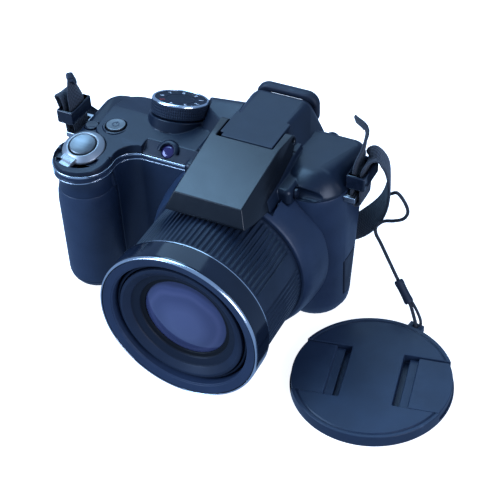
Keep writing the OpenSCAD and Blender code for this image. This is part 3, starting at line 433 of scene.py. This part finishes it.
def piece(name, bm, body, skin, nodes=(), place=None, soft=0.0, smooth=40, slot=None, boxes=()):
    """Finished object from a mesh: softened, placed, smoothed, painted and tied to its body."""
    if soft:
        soften(bm, soft, boxes=boxes)
    if place:
        moved(bm, place)
    bmesh.ops.recalc_face_normals(bm, faces=bm.faces)
    mesh = bpy.data.meshes.new(name)
    bm.to_mesh(mesh)
    bm.free()
    mesh.polygons.foreach_set("use_smooth", [True] * len(mesh.polygons))
    mesh.set_sharp_from_angle(angle=math.radians(smooth))
    mesh.materials.append(skin)
    made = bpy.data.objects.new(name, mesh)
    bpy.context.scene.collection.objects.link(made)
    weights = made.modifiers.new("even_shading", "WEIGHTED_NORMAL")
    weights.keep_sharp = True
    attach(made, body)
    if nodes:
        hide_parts(*nodes)
    return made


def lathe(name, outline, steps, body, skin, node=None, closed=True, **rest):
    """Finished turned piece, in place of a node if one is named."""
    return piece(name, turned(outline, steps, closed), body, skin, (node,) if node else (), **rest)


def curve_at(points, t):
    """Point on the smooth line through the points, t counting them."""
    i = min(int(t), len(points) - 2)
    u = t - i
    b, c = points[i], points[i + 1]
    a = points[i - 1] if i else b * 2 - c
    d = points[i + 2] if i + 2 < len(points) else c * 2 - b
    bend = a * 2 - b * 5 + c * 4 - d
    twist = b * 3 - a - c * 3 + d
    return 0.5 * (b * 2 + (c - a) * u + bend * u * u + twist * u ** 3)


def smooth_line(points, count):
    """Evenly counted points along the smooth line."""
    return [curve_at(points, (len(points) - 1) * k / count) for k in range(count + 1)]


def swept(line, sides, section):
    """Closed skin round a line; the section's points are offsets along and across the side vectors."""
    around = len(section)
    last = len(line) - 1
    bm = bmesh.new()
    thread = bm.loops.layers.uv.new("thread")
    bmesh.ops.create_grid(bm, x_segments=last, y_segments=around, size=0.5, calc_uvs=True)
    reach = [0.0]
    for a, b in zip(line, line[1:]):
        reach.append(reach[-1] + (b - a).length)
    girth = sum((Vector(a) - Vector(b)).length for a, b in zip(section, section[1:] + section[:1]))
    for face in bm.faces:
        for loop in face.loops:
            uv = loop[thread].uv
            uv.x, uv.y = reach[round(uv.x * last)], uv.y * girth
    for v in bm.verts:
        i = round((v.co.x + 0.5) * last)
        wide, thick = section[round((v.co.y + 0.5) * around) % around]
        along = (line[min(i + 1, last)] - line[max(i - 1, 0)]).normalized()
        side = (sides[i] - along * sides[i].dot(along)).normalized()
        v.co = line[i] + side * wide + along.cross(side) * thick
    bmesh.ops.remove_doubles(bm, verts=bm.verts, dist=0.001 * MM)
    bmesh.ops.holes_fill(bm, edges=[e for e in bm.edges if e.is_boundary], sides=0)
    return bm


def flat_section(width, thick):
    """Section of webbing: wide, thin and round at its selvedges."""
    w, t = width / 2 * MM, thick / 2 * MM
    selvedge = 0.5 * MM
    lower = [(-w, -t * 0.3), (-w + selvedge, -t * 0.9), (-w * 0.45, -t),
             (w * 0.45, -t), (w - selvedge, -t * 0.9), (w, -t * 0.3)]
    return lower + [(-a, -b) for a, b in lower]


def round_section(diameter, sides=10):
    """Section of a round cord."""
    r = diameter / 2 * MM
    angles = [2 * math.pi * k / sides for k in range(sides)]
    return [(r * math.cos(a), r * math.sin(a)) for a in angles]


# Neck strap, laid as in the part: right end, hank behind the camera, left end
LEVEL = Vector((0, 1, 0))
UPRIGHT = Vector((0, 0, 1))
left_route = [at(*p) for p in (
    (-83.2, 4.4, 77.4), (-81, 1.9, 74.4), (-78.9, -0.3, 70), (-78.9, -0.3, 64), (-78.3, 0, 60),
    (-78.3, 0, 57), (-78.8, 0, 54.4), (-80.3, 0, 53.4), (-81.7, 0, 54.8), (-82, 0, 58), (-82, -0.3, 64),
    (-82, 0, 68.5), (-83.2, 0.6, 71.8), (-85.6, 2, 71.4), (-87, 4.5, 66), (-87, 9, 58), (-86, 16, 50),
    (-84.5, 25, 41), (-82.5, 36, 30), (-80.5, 47, 18), (-78, 56, 9), (-70, 62, 5.4))]
left_width = [Vector(p) for p in ((-0.36, 0.67, -0.66), (-0.2, 0.9, -0.35))] + [LEVEL] * 11
left_width += [Vector(p) for p in (
    (0.1, 1, 0), (0.2, 1, 0.4), (0.5, 1, 0.6), (1, 0.7, 0.6), (1, 0.3, 0.3), (1, 0, 0.2), (0.9, 0, 0.6),
    (0.4, 0, 1), (0, 0, 1))]
right_route = [at(*p) for p in (
    (36.4, 12, 85.4), (41.2, 10.6, 83), (41.4, 8.8, 78), (40.3, 6.4, 71), (40.2, 6, 64), (39.8, 5, 60),
    (39.8, 5, 57.4), (40.3, 5, 55.6), (41.8, 5, 54.6), (43.2, 5, 56), (43.5, 5, 59), (43.4, 6, 64),
    (43.4, 6.5, 69.5), (44.6, 8, 73), (46.8, 11, 71.6), (48.4, 15, 64), (47.8, 19, 52.5), (44.5, 22.5, 40),
    (38, 26.5, 28), (28.6, 29.6, 16.5), (17, 31.6, 8.5), (6, 32, 5.4))]
right_width = [Vector(p) for p in ((-0.36, 0.67, -0.66), (-0.36, 0.67, -0.66), (-0.25, 0.9, -0.3))]
right_width += [LEVEL] * 10 + [Vector(p) for p in (
    (-0.3, 1, 0), (-0.5, 1, 0.2), (-0.4, 1, 0.3), (-0.4, 1, 0.5), (-0.4, 0.8, 0.7), (-0.3, 0.4, 1),
    (-0.1, 0, 1), (0, 0, 1), (0, 0, 1))]
STRAP_STEPS = 120
HANK_RUNS, HANK_PITCH, HANK_REACH = 7, 5, 64
HANK_Y, HANK_Z = 32, 5.4
RUN_STEPS, BOW_STEPS = 24, 8
hank_line = []
for run in range(HANK_RUNS):
    start, stop = (0, -HANK_REACH) if run % 2 == 0 else (-HANK_REACH, 0)
    run_y = HANK_Y + HANK_PITCH * run
    hank_line += [at(start + (stop - start) * k / RUN_STEPS, run_y, HANK_Z) for k in range(RUN_STEPS + 1)]
    if run < HANK_RUNS - 1:
        bow = HANK_PITCH / 2
        swing = -bow if run % 2 == 0 else bow
        for k in range(1, BOW_STEPS):
            a = math.radians(180 * k / BOW_STEPS - 90)
            hank_line.append(at(stop + swing * math.cos(a), run_y + bow + bow * math.sin(a), HANK_Z))
right_line, right_sides = smooth_line(right_route, STRAP_STEPS), smooth_line(right_width, STRAP_STEPS)
left_line, left_sides = smooth_line(left_route, STRAP_STEPS), smooth_line(left_width, STRAP_STEPS)
strap_line = right_line + hank_line + left_line[::-1]
strap_sides = right_sides + [UPRIGHT] * len(hank_line) + left_sides[::-1]
strap = piece("neck_strap", swept(strap_line, strap_sides, flat_section(10, 1.2)), "body", WEBBING,
              ("strap_left", "strap_hank", "strap_right"), slot="webbing")
keepers = piece("strap_keeper_frames", copy_of("strap_keepers"), "body", GLOSS, ("strap_keepers",), soft=0.6)


# What goes with the strap: the fold at its left tail and the tie of the hank
def tail_place():
    """Frame at the strap's left tail, with X across the webbing and Z along it."""
    along = (left_line[0] - left_line[3]).normalized()
    side = (left_sides[0] - along * left_sides[0].dot(along)).normalized()
    axes = Matrix((side, along.cross(side), along)).transposed()
    return Matrix.Translation(left_line[0]) @ axes.to_4x4()


def tie_band():
    """Thin band round the hank, with its tongue on top."""
    x, width = -35, 6
    (y_low, y_high), (z_low, z_high) = (30.9, 63.1), (0.02, 10.8)
    bm = bmesh.new()
    corners = [bm.verts.new(at(x, y, z))
               for y, z in ((y_low, z_low), (y_high, z_low), (y_high, z_high), (y_low, z_high))]
    bm.faces.new(corners)
    bmesh.ops.bevel(bm, geom=corners, offset=1.2 * MM, offset_type="OFFSET", segments=4, profile=0.5,
                    affect="VERTICES", material=-1)
    bmesh.ops.delete(bm, geom=bm.faces[:], context="FACES_ONLY")
    drawn = bmesh.ops.extrude_edge_only(bm, edges=bm.edges[:])["geom"]
    far_edge = [v for v in drawn if isinstance(v, bmesh.types.BMVert)]
    bmesh.ops.translate(bm, vec=at(width, 0, 0), verts=far_edge)
    bmesh.ops.recalc_face_normals(bm, faces=bm.faces)
    bmesh.ops.solidify(bm, geom=bm.faces[:], thickness=0.35 * MM)
    tongue = soften(block((x + 0.3, 43, 10.5), (x + width - 0.3, 56, 11.3)), 0.25)
    return joined(bm, tongue)


tail = joined(soften(block((-5, -1.5, -2.6), (5, 1.5, 0.5)), 0.9, steps=3),
              soften(block((-4.6, -1.1, -3.6), (4.6, 1.1, -2.4)), 0.3))
fold = piece("tail_fold", tail, "body", SOFT, place=tail_place())
tie = piece("hank_tie", tie_band(), "body", SOFT)

# Cap cord with its sleeve, below which it runs on as two strands to the cap
cord_route = [at(*p) for p in (
    (48.6, 19, 49), (51.8, 17.5, 51.5), (55, 17, 48.6), (56.6, 17, 44.2), (55, 17, 40.2), (50.8, 18, 37),
    (46.5, 18.5, 35), (44, 17, 32.8), (44.6, 15, 30.8), (47.7, 13, 28), (52.4, 10, 23.2), (57.4, 7.5, 17),
    (60.8, 5.6, 13.5), (64.2, 3.7, 10), (66.6, 1.2, 7.4), (68.2, -0.8, 6), (68.6, -1.2, 4.6),
    (68.6, -1.2, 1.4))]
strand_offsets = ((0.2, 0.2, 0.1), (1.0, 0.4, 0.3), (1.7, 0.9, 0.3), (1.9, 1.0, 0.1), (1.6, 0.8, -0.6),
                  (0.3, 0.4, 0.3))
cord_line = smooth_line(cord_route, 140)
strand_line = smooth_line([p + at(*off) for p, off in zip(cord_route[12:], strand_offsets)], 40)


def braid(line, diameter):
    """Round cord along a line."""
    return swept(line, [Vector((0.1, 0.97, 0.2))] * len(line), round_section(diameter))


cord = piece("cap_cord_braid", braid(cord_line, 1.4), "body", BRAID, ("cap_cord",), slot="webbing")
sleeve = lathe("cord_sleeve", [(0.75, 0), (1.5, 0), (1.85, 0.5), (1.9, 1.4), (1.75, 3.6), (1.75, 6.6),
                               (1.9, 8.8), (1.85, 9.6), (1.5, 10.1), (0.75, 10.1)], 32, "body", SOFT,
               "cord_slider", place=aimed(cord_route[11], cord_route[13] - cord_route[11]))
strand = piece("cord_strand", braid(strand_line, 1.2), "body", BRAID, slot="webbing")

# Covers, lids and cap: softened copies; the thin walls between the battery cells keep their edges
CELL_BAY = (((-76, -9.5, 2), (-44, 14.8, 62)), ((-76, -30, 2), (-54, -9.5, 62)))
for node, body, skin, width, boxes in (
        ("front_cover", "body", SHELL, 0.35, CELL_BAY), ("rear_cover", "body", SHELL, 0.35, ()),
        ("top_cover", "body", DECK_SHADED, 0.35, ()), ("base_plate", "body", SHELL, 0.3, ()),
        ("grip_rubber", "body", RUBBER, 0.3, ()), ("thumb_rest", "body", RUBBER, 0.7, ()),
        ("lens_collar", "body", SHELL, 0.35, ()), ("eyecup", "body", SOFT, 1.3, ()),
        ("strap_lugs", "body", STEEL, 0.35, ()), ("terminal_sockets", "body", STEEL, 0.15, ()),
        ("lens_cap", "body", CAP_BLACK, 0.3, ()), ("lcd_window", "body", SCREEN, 0.25, ()),
        ("flash_lid", "flash", LID_SHADED, 0.4, ()), ("flash_window", "flash", DIFFUSER, 0.15, ()),
        ("battery_door", "door", SHELL, 0.25, ()), ("terminal_cover", "terminal", SOFT, 0.25, ()),
        ("cap_tab_left", "tab_left", CAP_BLACK, 0.3, ()),
        ("cap_tab_right", "tab_right", CAP_BLACK, 0.3, ())):
    piece(node + "_shape", copy_of(node), body, skin, (node,), soft=width, boxes=boxes)

# Bright trim along the seam, and a thinner bead below it that drops towards the front of the grip
SEAM_Z, BEAD_Z, BEAD_SHARE = 60.1, 58.3, 0.45
DROP_X, DROP_RUN, DROP = -38, 30, 1.6
piece("trim_bead", copy_of("trim_strip"), "body", CHROME, ("trim_strip",), soft=0.2)
lower_bead = copy_of("trim_strip")
for v in lower_bead.verts:
    share = min(max((DROP_X - v.co.x / MM) / DROP_RUN, 0), 1)
    v.co.z = (BEAD_Z - DROP * share + BEAD_SHARE * (v.co.z / MM - SEAM_Z)) * MM
piece("trim_lower_bead", lower_bead, "body", CHROME, soft=0.12)

# Lens barrel and its rings
barrel = turned([(27.6, 10), (31, 10), (31, 26.6), (31, 27.2), (31, 28.2), (31, 40), (31, 53.2), (31, 54.2),
                 (31, 54.8), (30.6, 55.2), (30.6, 55.9), (27.6, 55.9)], 540)
fluted(barrel, 90, 0.6, 28, 53.6, 30.5, skip=(16, 30))
piece("ribbed_barrel", barrel, "body", BARREL, ("lens_shroud",), place=LENS, smooth=50)
lathe("gloss_ring", [(30.25, 56.05), (32.1, 56.05), (32.35, 56.5), (32.45, 57.2), (32.45, 64.4),
                     (32.3, 65.1), (31.9, 65.5), (31.45, 65.6), (30.25, 64.2)], 144, "body", GLOSS,
      "front_ring", place=LENS, soft=0.1)
lathe("front_rim", [(31.62, 65.62), (32.0, 65.5), (32.3, 65.12), (32.42, 65.5), (32.3, 66.05),
                    (32.02, 66.42), (31.78, 66.5), (31.62, 66.35)], 144, "body", CHROME, place=LENS,
      soft=0.06)
lathe("rear_line", [(31.9, 55.95), (32.3, 55.95), (32.42, 56.15), (32.38, 56.45), (32.1, 56.04)], 144,
      "body", CHROME, place=LENS)
lathe("bare_name_ring", [(27.6, 56), (27.6, 64.9), (27.75, 65.2), (28.1, 65.3), (28.3, 65.35),
                         (28.35, 65.55), (31.1, 66.2), (31.36, 66.1), (31.36, 65.6), (30.2, 64.2),
                         (30.2, 56)], 144, "body", FLAT, "name_ring", place=LENS, soft=0.08)

# The two barrels that slide out; the second one carries a stepped dish round the glass
lathe("first_barrel", [(26.9, 24), (26.9, 62.0), (26.75, 62.7), (26.4, 63.0), (25.9, 63.0), (25.7, 62.7),
                       (25.7, 34), (12.2, 34), (12.2, 30), (25.7, 30), (25.7, 24)], 120, "stage_one", CONE_PAINTED_SHADE,
      "stage_one_barrel", place=LENS, soft=0.1)
dish = [(24.0, 64.2), (23.75, 64.05), (21.7, 62.6), (21.5, 62.3), (21.45, 61.95), (21.15, 61.8),
        (18.8, 61.05), (18.6, 60.85), (18.5, 60.45), (18.2, 60.25), (17.0, 60.05), (16.82, 59.85)]
lathe("second_barrel", [(25.3, 36), (25.3, 63.5), (25.15, 64.0), (24.7, 64.2)] + dish
      + [(16.82, 48.4), (23.7, 48.4), (23.7, 36)], 120, "stage_two", CONE_PAINTED_SHADE, "stage_two_barrel",
      place=LENS, soft=0.06)


# Glasses, each an outline from the axis to the rim and back
def bowl(radius, middle, sag, count):
    """Outline of a shallow bowl from the axis to its rim, which lies that much further along the axis."""
    return [(radius * k / count, middle + sag * (k / count) ** 2) for k in range(count + 1)]


GLASS_R, GLASS_RIM, DOME_R = 16.77, 59.5, 50
HOLLOW_R = 15.8
dome_low = GLASS_RIM - math.sqrt(DOME_R ** 2 - GLASS_R ** 2)
dome_steps = [GLASS_R * math.sin(math.pi / 2 * k / 14) for k in range(15)]
dome = [(r, dome_low + math.sqrt(DOME_R ** 2 - r ** 2)) for r in dome_steps]
lathe("front_element", dome + [(GLASS_R, 54.8), (16.4, 54.5)] + bowl(HOLLOW_R, 56.8, -2.2, 8)[::-1], 96,
      "stage_two", FRONT_PAINTED_REFLECTION, "front_lens", closed=False, place=LENS)
lathe("second_element", bowl(16.7, 53.4, -3.0, 10) + [(16.7, 49.7), (0, 49.7)], 96, "stage_two", COATED,
      closed=False, place=LENS)
lathe("element_ring", [(13.0, 53.0), (16.75, 53.0), (16.75, 54.3), (14.0, 54.3), (13.0, 53.6)], 96,
      "stage_two", FLAT, place=LENS, soft=0.1)
lathe("inner_element", bowl(12.1, 33.6, -0.9, 8) + bowl(12.1, 30.4, 0.9, 8)[::-1], 64, "stage_one", COATED,
      "inner_lens", closed=False, place=LENS)

# Button that lets the flash up
lathe("flash_button_shape", [(0, -2), (2.6, -2), (2.6, -1.3), (1.9, -1.2), (1.9, 0.6), (1.75, 0.95),
                             (1.3, 1.1), (0, 1.05)], 40, "flash_release", GLOSS, "flash_button",
      closed=False, place=FLASH_RELEASE)

# Mode dial: knurled wall of four rows, bright edge and a face with figures, one of them red
STOPS, RED_STOP, FIRST_STOP_TURN = 9, 4, 60
ROWS, ROW_PITCH = 4, 1.1
wall = [(10.7, 0.6), (11.1, 0.8), (11.3, 1.2)]
for row in range(ROWS):
    wall += [(r, h + ROW_PITCH * row) for r, h in ((11.2, 1.35), (11.5, 1.55), (11.5, 2.2), (11.2, 2.4))]
knob = turned([(0, -4.4), (3.2, -4.4), (3.2, 0.6)] + wall + [(11.35, 5.9), (10.3, 6.0), (0, 6.0)], 320,
              closed=False)
fluted(knob, 80, 0.32, 1.5, 5.6, 11.3)
piece("dial_knob", knob, "dial", BARREL, ("mode_dial",), place=DIAL, smooth=30)
lathe("dial_edge", [(10.35, 6.02), (11.4, 5.95), (11.5, 6.15), (11.35, 6.6), (10.95, 6.95), (10.6, 7.0),
                    (10.35, 6.8)], 120, "dial", CHROME, place=DIAL, soft=0.05)
lathe("dial_face", [(0, 6.02), (10.3, 6.02), (10.3, 6.5), (10.0, 6.6), (9.7, 6.52), (6.0, 6.52), (5.9, 6.42),
                    (5.7, 6.42), (5.6, 6.52), (0, 6.56)], 96, "dial", DIAL_TOP, "dial_cap", closed=False,
      place=DIAL)


def stop_figure(stop):
    """Number of one stop of the dial, at its place near the rim."""
    return moved(digits(str(stop + 1), 2.6, 0.1),
                 turn(-360 / STOPS * stop - FIRST_STOP_TURN) @ shift(0, 7.9, 6.55))


plain_stops = [stop_figure(k) for k in range(STOPS) if k != RED_STOP]
piece("dial_figures", joined(*plain_stops), "dial", PAINT, place=DIAL)
piece("dial_red_mark", stop_figure(RED_STOP), "dial", RED, place=DIAL)
piece("dial_index", soften(block((12.3, -0.45, 0.1), (15.2, 0.45, 0.45)), 0.12), "body", PAINT,
      place=DIAL @ turn(4))

# Shutter button and zoom lever with its ribbed tab
lathe("zoom_ring", [(5.62, 0.3), (8.4, 0.3), (8.6, 0.55), (8.58, 1.0), (8.3, 1.5), (6.5, 2.78), (6.2, 2.9),
                    (5.85, 2.8), (5.62, 2.5)], 96, "lever", LEVER, "zoom_lever", place=SHUTTER, soft=0.08)
upper_step = soften(block((-3.1, -9.7, 0.7), (3.1, -6.9, 2.7)), 0.4)
lower_step = soften(block((-2.6, -11.7, 0.3), (2.6, -9.0, 1.7)), 0.4)
ribs = [soften(block((-2.5, -9.3 + 0.8 * k, 2.3), (2.5, -8.9 + 0.8 * k, 2.85)), 0.12) for k in range(3)]
piece("zoom_tab", joined(upper_step, lower_step, *ribs), "lever", LEVER, place=SHUTTER @ turn(-14))
lathe("shutter_knob", [(0, -4), (3.1, -4), (3.1, 0.9), (5.05, 0.9), (5.25, 1.15), (5.28, 2.7), (5.15, 3.1),
                       (4.8, 3.3), (4.4, 3.22), (3.2, 2.95), (1.6, 2.78), (0, 2.74)], 72, "shutter", SATIN,
      "shutter_button", closed=False, place=SHUTTER)


# Buttons in the deck
def deck_knob(name, node, body, spot, r, top, skin):
    """Round button in the deck with a flange below and a slightly dished top."""
    foot = 61.1
    rise = top - foot
    outline = [(0, 0), (r + 0.6, 0), (r + 0.6, 0.8), (r, 0.8), (r, rise - 0.45), (r - 0.2, rise - 0.1),
               (r - 0.55, rise), (r - 0.9, rise - 0.06), (0, rise - 0.22)]
    return lathe(name, outline, 56, body, skin, node, closed=False, place=shift(*spot, foot))


deck_knob("power_knob", "power_button", "power", POWER_SPOT, 4, 65.7, SATIN)
piece("power_mark", joined(turned([(1.15, 0), (1.5, 0), (1.5, 0.12), (1.15, 0.12)], 40),
                           block((-0.18, 0.5, 0), (0.18, 1.9, 0.13))), "power", BARREL,
      place=shift(*POWER_SPOT, 65.5))
lathe("power_rim", [(4.4, 0), (5.5, 0), (5.5, 0.35), (5.2, 0.6), (4.7, 0.6), (4.4, 0.4)], 64, "body", GLOSS,
      place=shift(*POWER_SPOT, 64.4))
deck_knob("burst_knob", "burst_button", "burst", BURST_SPOT, 2.8, 64.1, GLOSS)

# Focus lamp under its brow, a ring cut off below
lathe("lamp_dome", [(0, -3), (2.6, -3), (2.6, 0), (2.35, 0.25), (1.6, 0.38), (0, 0.45)], 40, "body", LAMP,
      "af_lamp", closed=False, place=LAMP_SEAT)
brow = turned([(2.75, -2.2), (4.9, -2.2), (4.9, -0.2), (4.5, 0.8), (3.8, 1.3), (3.1, 1.25), (2.75, 0.8)], 64)
bmesh.ops.bisect_plane(brow, geom=brow.verts[:] + brow.edges[:] + brow.faces[:], plane_co=at(0, -0.2, 0),
                       plane_no=(0, -1, -0.3), clear_outer=True)
bmesh.ops.holes_fill(brow, edges=[e for e in brow.edges if e.is_boundary], sides=0)
piece("lamp_brow", brow, "body", DECK_SHADED, place=LAMP_SEAT)


# Controls on the back
def back_knob(name, node, body, spot, r, proud, skin, bore=0.0):
    """Round button in the back, with a hole in the middle if it is a ring."""
    outline = [(bore, -4), (r, -4), (r, proud - 0.5), (r - 0.15, proud - 0.15), (r - 0.5, proud)]
    if bore:
        outline += [(bore + 0.5, proud - 0.05), (bore, proud - 0.3)]
    else:
        outline += [(r * 0.6, proud - 0.1), (0, proud - 0.16)]
    return lathe(name, outline, 64, body, skin, node, closed=bool(bore), place=rear(spot))


back_knob("movie_knob", "movie_button", "movie", MOVIE_SPOT, 3, 0.5, GLOSS)
lathe("movie_mark", [(0, 0), (1.1, 0), (1.1, 0.1), (0, 0.12)], 40, "movie", RED, closed=False,
      place=rear(MOVIE_SPOT, 0.36))
back_knob("play_knob", "play_button", "play", PLAY_SPOT, 3, 0.5, GLOSS)
piece("play_mark", moved(arrow(1.2, 0.12), turn(90)), "play", PAINT, place=rear(PLAY_SPOT, 0.4))
back_knob("pad_ring", "control_pad", "pad", PAD_SPOT, 9, 0.6, GLOSS, bore=4.6)
arrows = [moved(arrow(0.9, 0.12), turn(90 * k) @ shift(0, 6.9, 0)) for k in range(4)]
piece("pad_arrows", joined(*arrows), "pad", PAINT, place=rear(PAD_SPOT, 0.58))
back_knob("ok_knob", "ok_button", "ok", PAD_SPOT, 4.2, 0.9, BARREL)
lathe("ok_mark", [(1.2, 0), (1.5, 0), (1.5, 0.1), (1.2, 0.1)], 40, "ok", PAINT, place=rear(PAD_SPOT, 0.76))
wheel = turned([(0, -3.1), (2.8, -3.1), (2.8, -0.4), (2.8, 0.2), (2.8, 0.9), (2.6, 1.15), (2.3, 1.2),
                (1.9, 0.95), (0, 0.9)], 160, closed=False)
piece("diopter_knob", fluted(wheel, 40, 0.16, -0.5, 1.0, 2.7), "diopter", BARREL, ("diopter_wheel",),
      place=rear(DIOPTER_SPOT), smooth=30)


# Base: cross-headed screws, threaded bush and the latch of the battery door
def base_screw(x, y):
    """Screw with a cross in its head, upside down in the base."""
    head = turned([(0, 0.9), (1.56, 0.9), (1.56, 0.55), (1.4, 0.42), (1.1, 0.4), (1.05, 0.75), (0, 0.75)],
                  40, closed=False)
    shank = turned([(0, 0.8), (0.88, 0.8), (0.88, 3.5), (0.5, 4.0), (0, 4.0)], 24, closed=False)
    quarters = [moved(block((0.28, 0.28, 0.4), (0.85, 0.85, 0.9)), turn(90 * k)) for k in range(4)]
    return moved(joined(head, shank, *quarters), shift(x, y, 0))


screws = [base_screw(x, y) for x, y in ((-39.2, 19.2), (18.2, 19.2), (-39.2, -5.4), (24, -1))]
piece("base_screws", joined(*screws), "body", STEEL, ("body_screws",))
GROOVES, GROOVE_PITCH, GROOVE_R, CREST_R = 7, 0.8, 2.95, 2.57
thread = [(r, h + GROOVE_PITCH * k) for k in range(GROOVES)
          for r, h in ((GROOVE_R, 0.75), (CREST_R, 1.05), (CREST_R, 1.25))]
lathe("threaded_bush", [(0, 8), (5.5, 8), (5.5, 3.6), (7.5, 3.6), (7.5, 2), (5.5, 2), (5.5, 0.25), (5.25, 0),
                        (3.3, 0), (GROOVE_R, 0.35)] + thread + [(CREST_R, 6), (0, 6)], 72, "body", STEEL,
      "tripod_bush", closed=False, smooth=25)
latch = soften(block((-68.3, -0.4, 0.6), (-62.9, 5.3, 1.5)), 0.15)
treads = [soften(block((-67.6, y, 0.4), (-63.6, y + 0.45, 0.8)), 0.1)
          for y in (0.3 + 1.05 * k for k in range(5))]
piece("latch_slide", joined(latch, *treads), "latch", SOFT, ("door_latch",))

# Inner pieces keep their CAD form
for node, skin in (
        ("cam_ring", STEEL), ("zoom_motor", STEEL), ("zoom_pinion", BRASS), ("image_sensor", BOARD),
        ("main_board", BOARD), ("flash_capacitor", CELL), ("flash_lamp", CHROME), ("battery_cells", CELL),
        ("battery_contacts", BRASS), ("lcd_panel", SCREEN), ("eyepiece_lens", GLASS)):
    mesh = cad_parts[node].data
    mesh.materials.clear()
    mesh.materials.append(skin)

# Floor, which gives off some light and stays out of reflections
bpy.ops.mesh.primitive_plane_add(size=4, location=(0, 0, -0.0001))
floor = bpy.context.object
floor.name = "floor"
pale = finish("pale_floor", (0.90, 0.90, 0.91), (0.93, 0.93, 0.94), (0.6, 0.7), 3.0, 0.01)
fill(pale.node_tree, pale.node_tree.nodes["Principled BSDF"],
     {"Emission Color": (1, 1, 1, 1), "Emission Strength": 0.9})
floor.data.materials.append(pale)
floor.visible_diffuse = False
floor.visible_glossy = False


# Cool studio light
def softbox(name, place, aim, size, power, tint):
    """Square area light that points at a place; both in metres."""
    light = bpy.data.lights.new(name, "AREA")
    light.size = size
    light.energy = power
    light.color = tint
    lamp = bpy.data.objects.new(name, light)
    bpy.context.scene.collection.objects.link(lamp)
    lamp.matrix_world = aimed(place, Vector(place) - Vector(aim))


world = bpy.data.worlds.new("studio")
bpy.context.scene.world = world
world.use_nodes = True
fill(world.node_tree, world.node_tree.nodes["Background"], {"Color": (0.34, 0.56, 1.0, 1), "Strength": 0.6})
softbox("lid_panel", (-0.24, 0.08, 0.57), (0, -0.02, 0.07), 0.3, 2.0, (0.34, 0.64, 1.0))
softbox("sky_panel", (-0.30, 0.62, 0.80), (0, 0, 0.04), 0.8, 3, (0.40, 0.68, 1.0))
softbox("front_left", (-0.6, -0.5, 0.5), (-0.03, -0.02, 0.03), 0.5, 9, (0.46, 0.66, 1.0))
softbox("right_fill", (0.75, -0.35, 0.35), (0.02, 0, 0.03), 0.5, 5, (0.66, 0.76, 1.0))
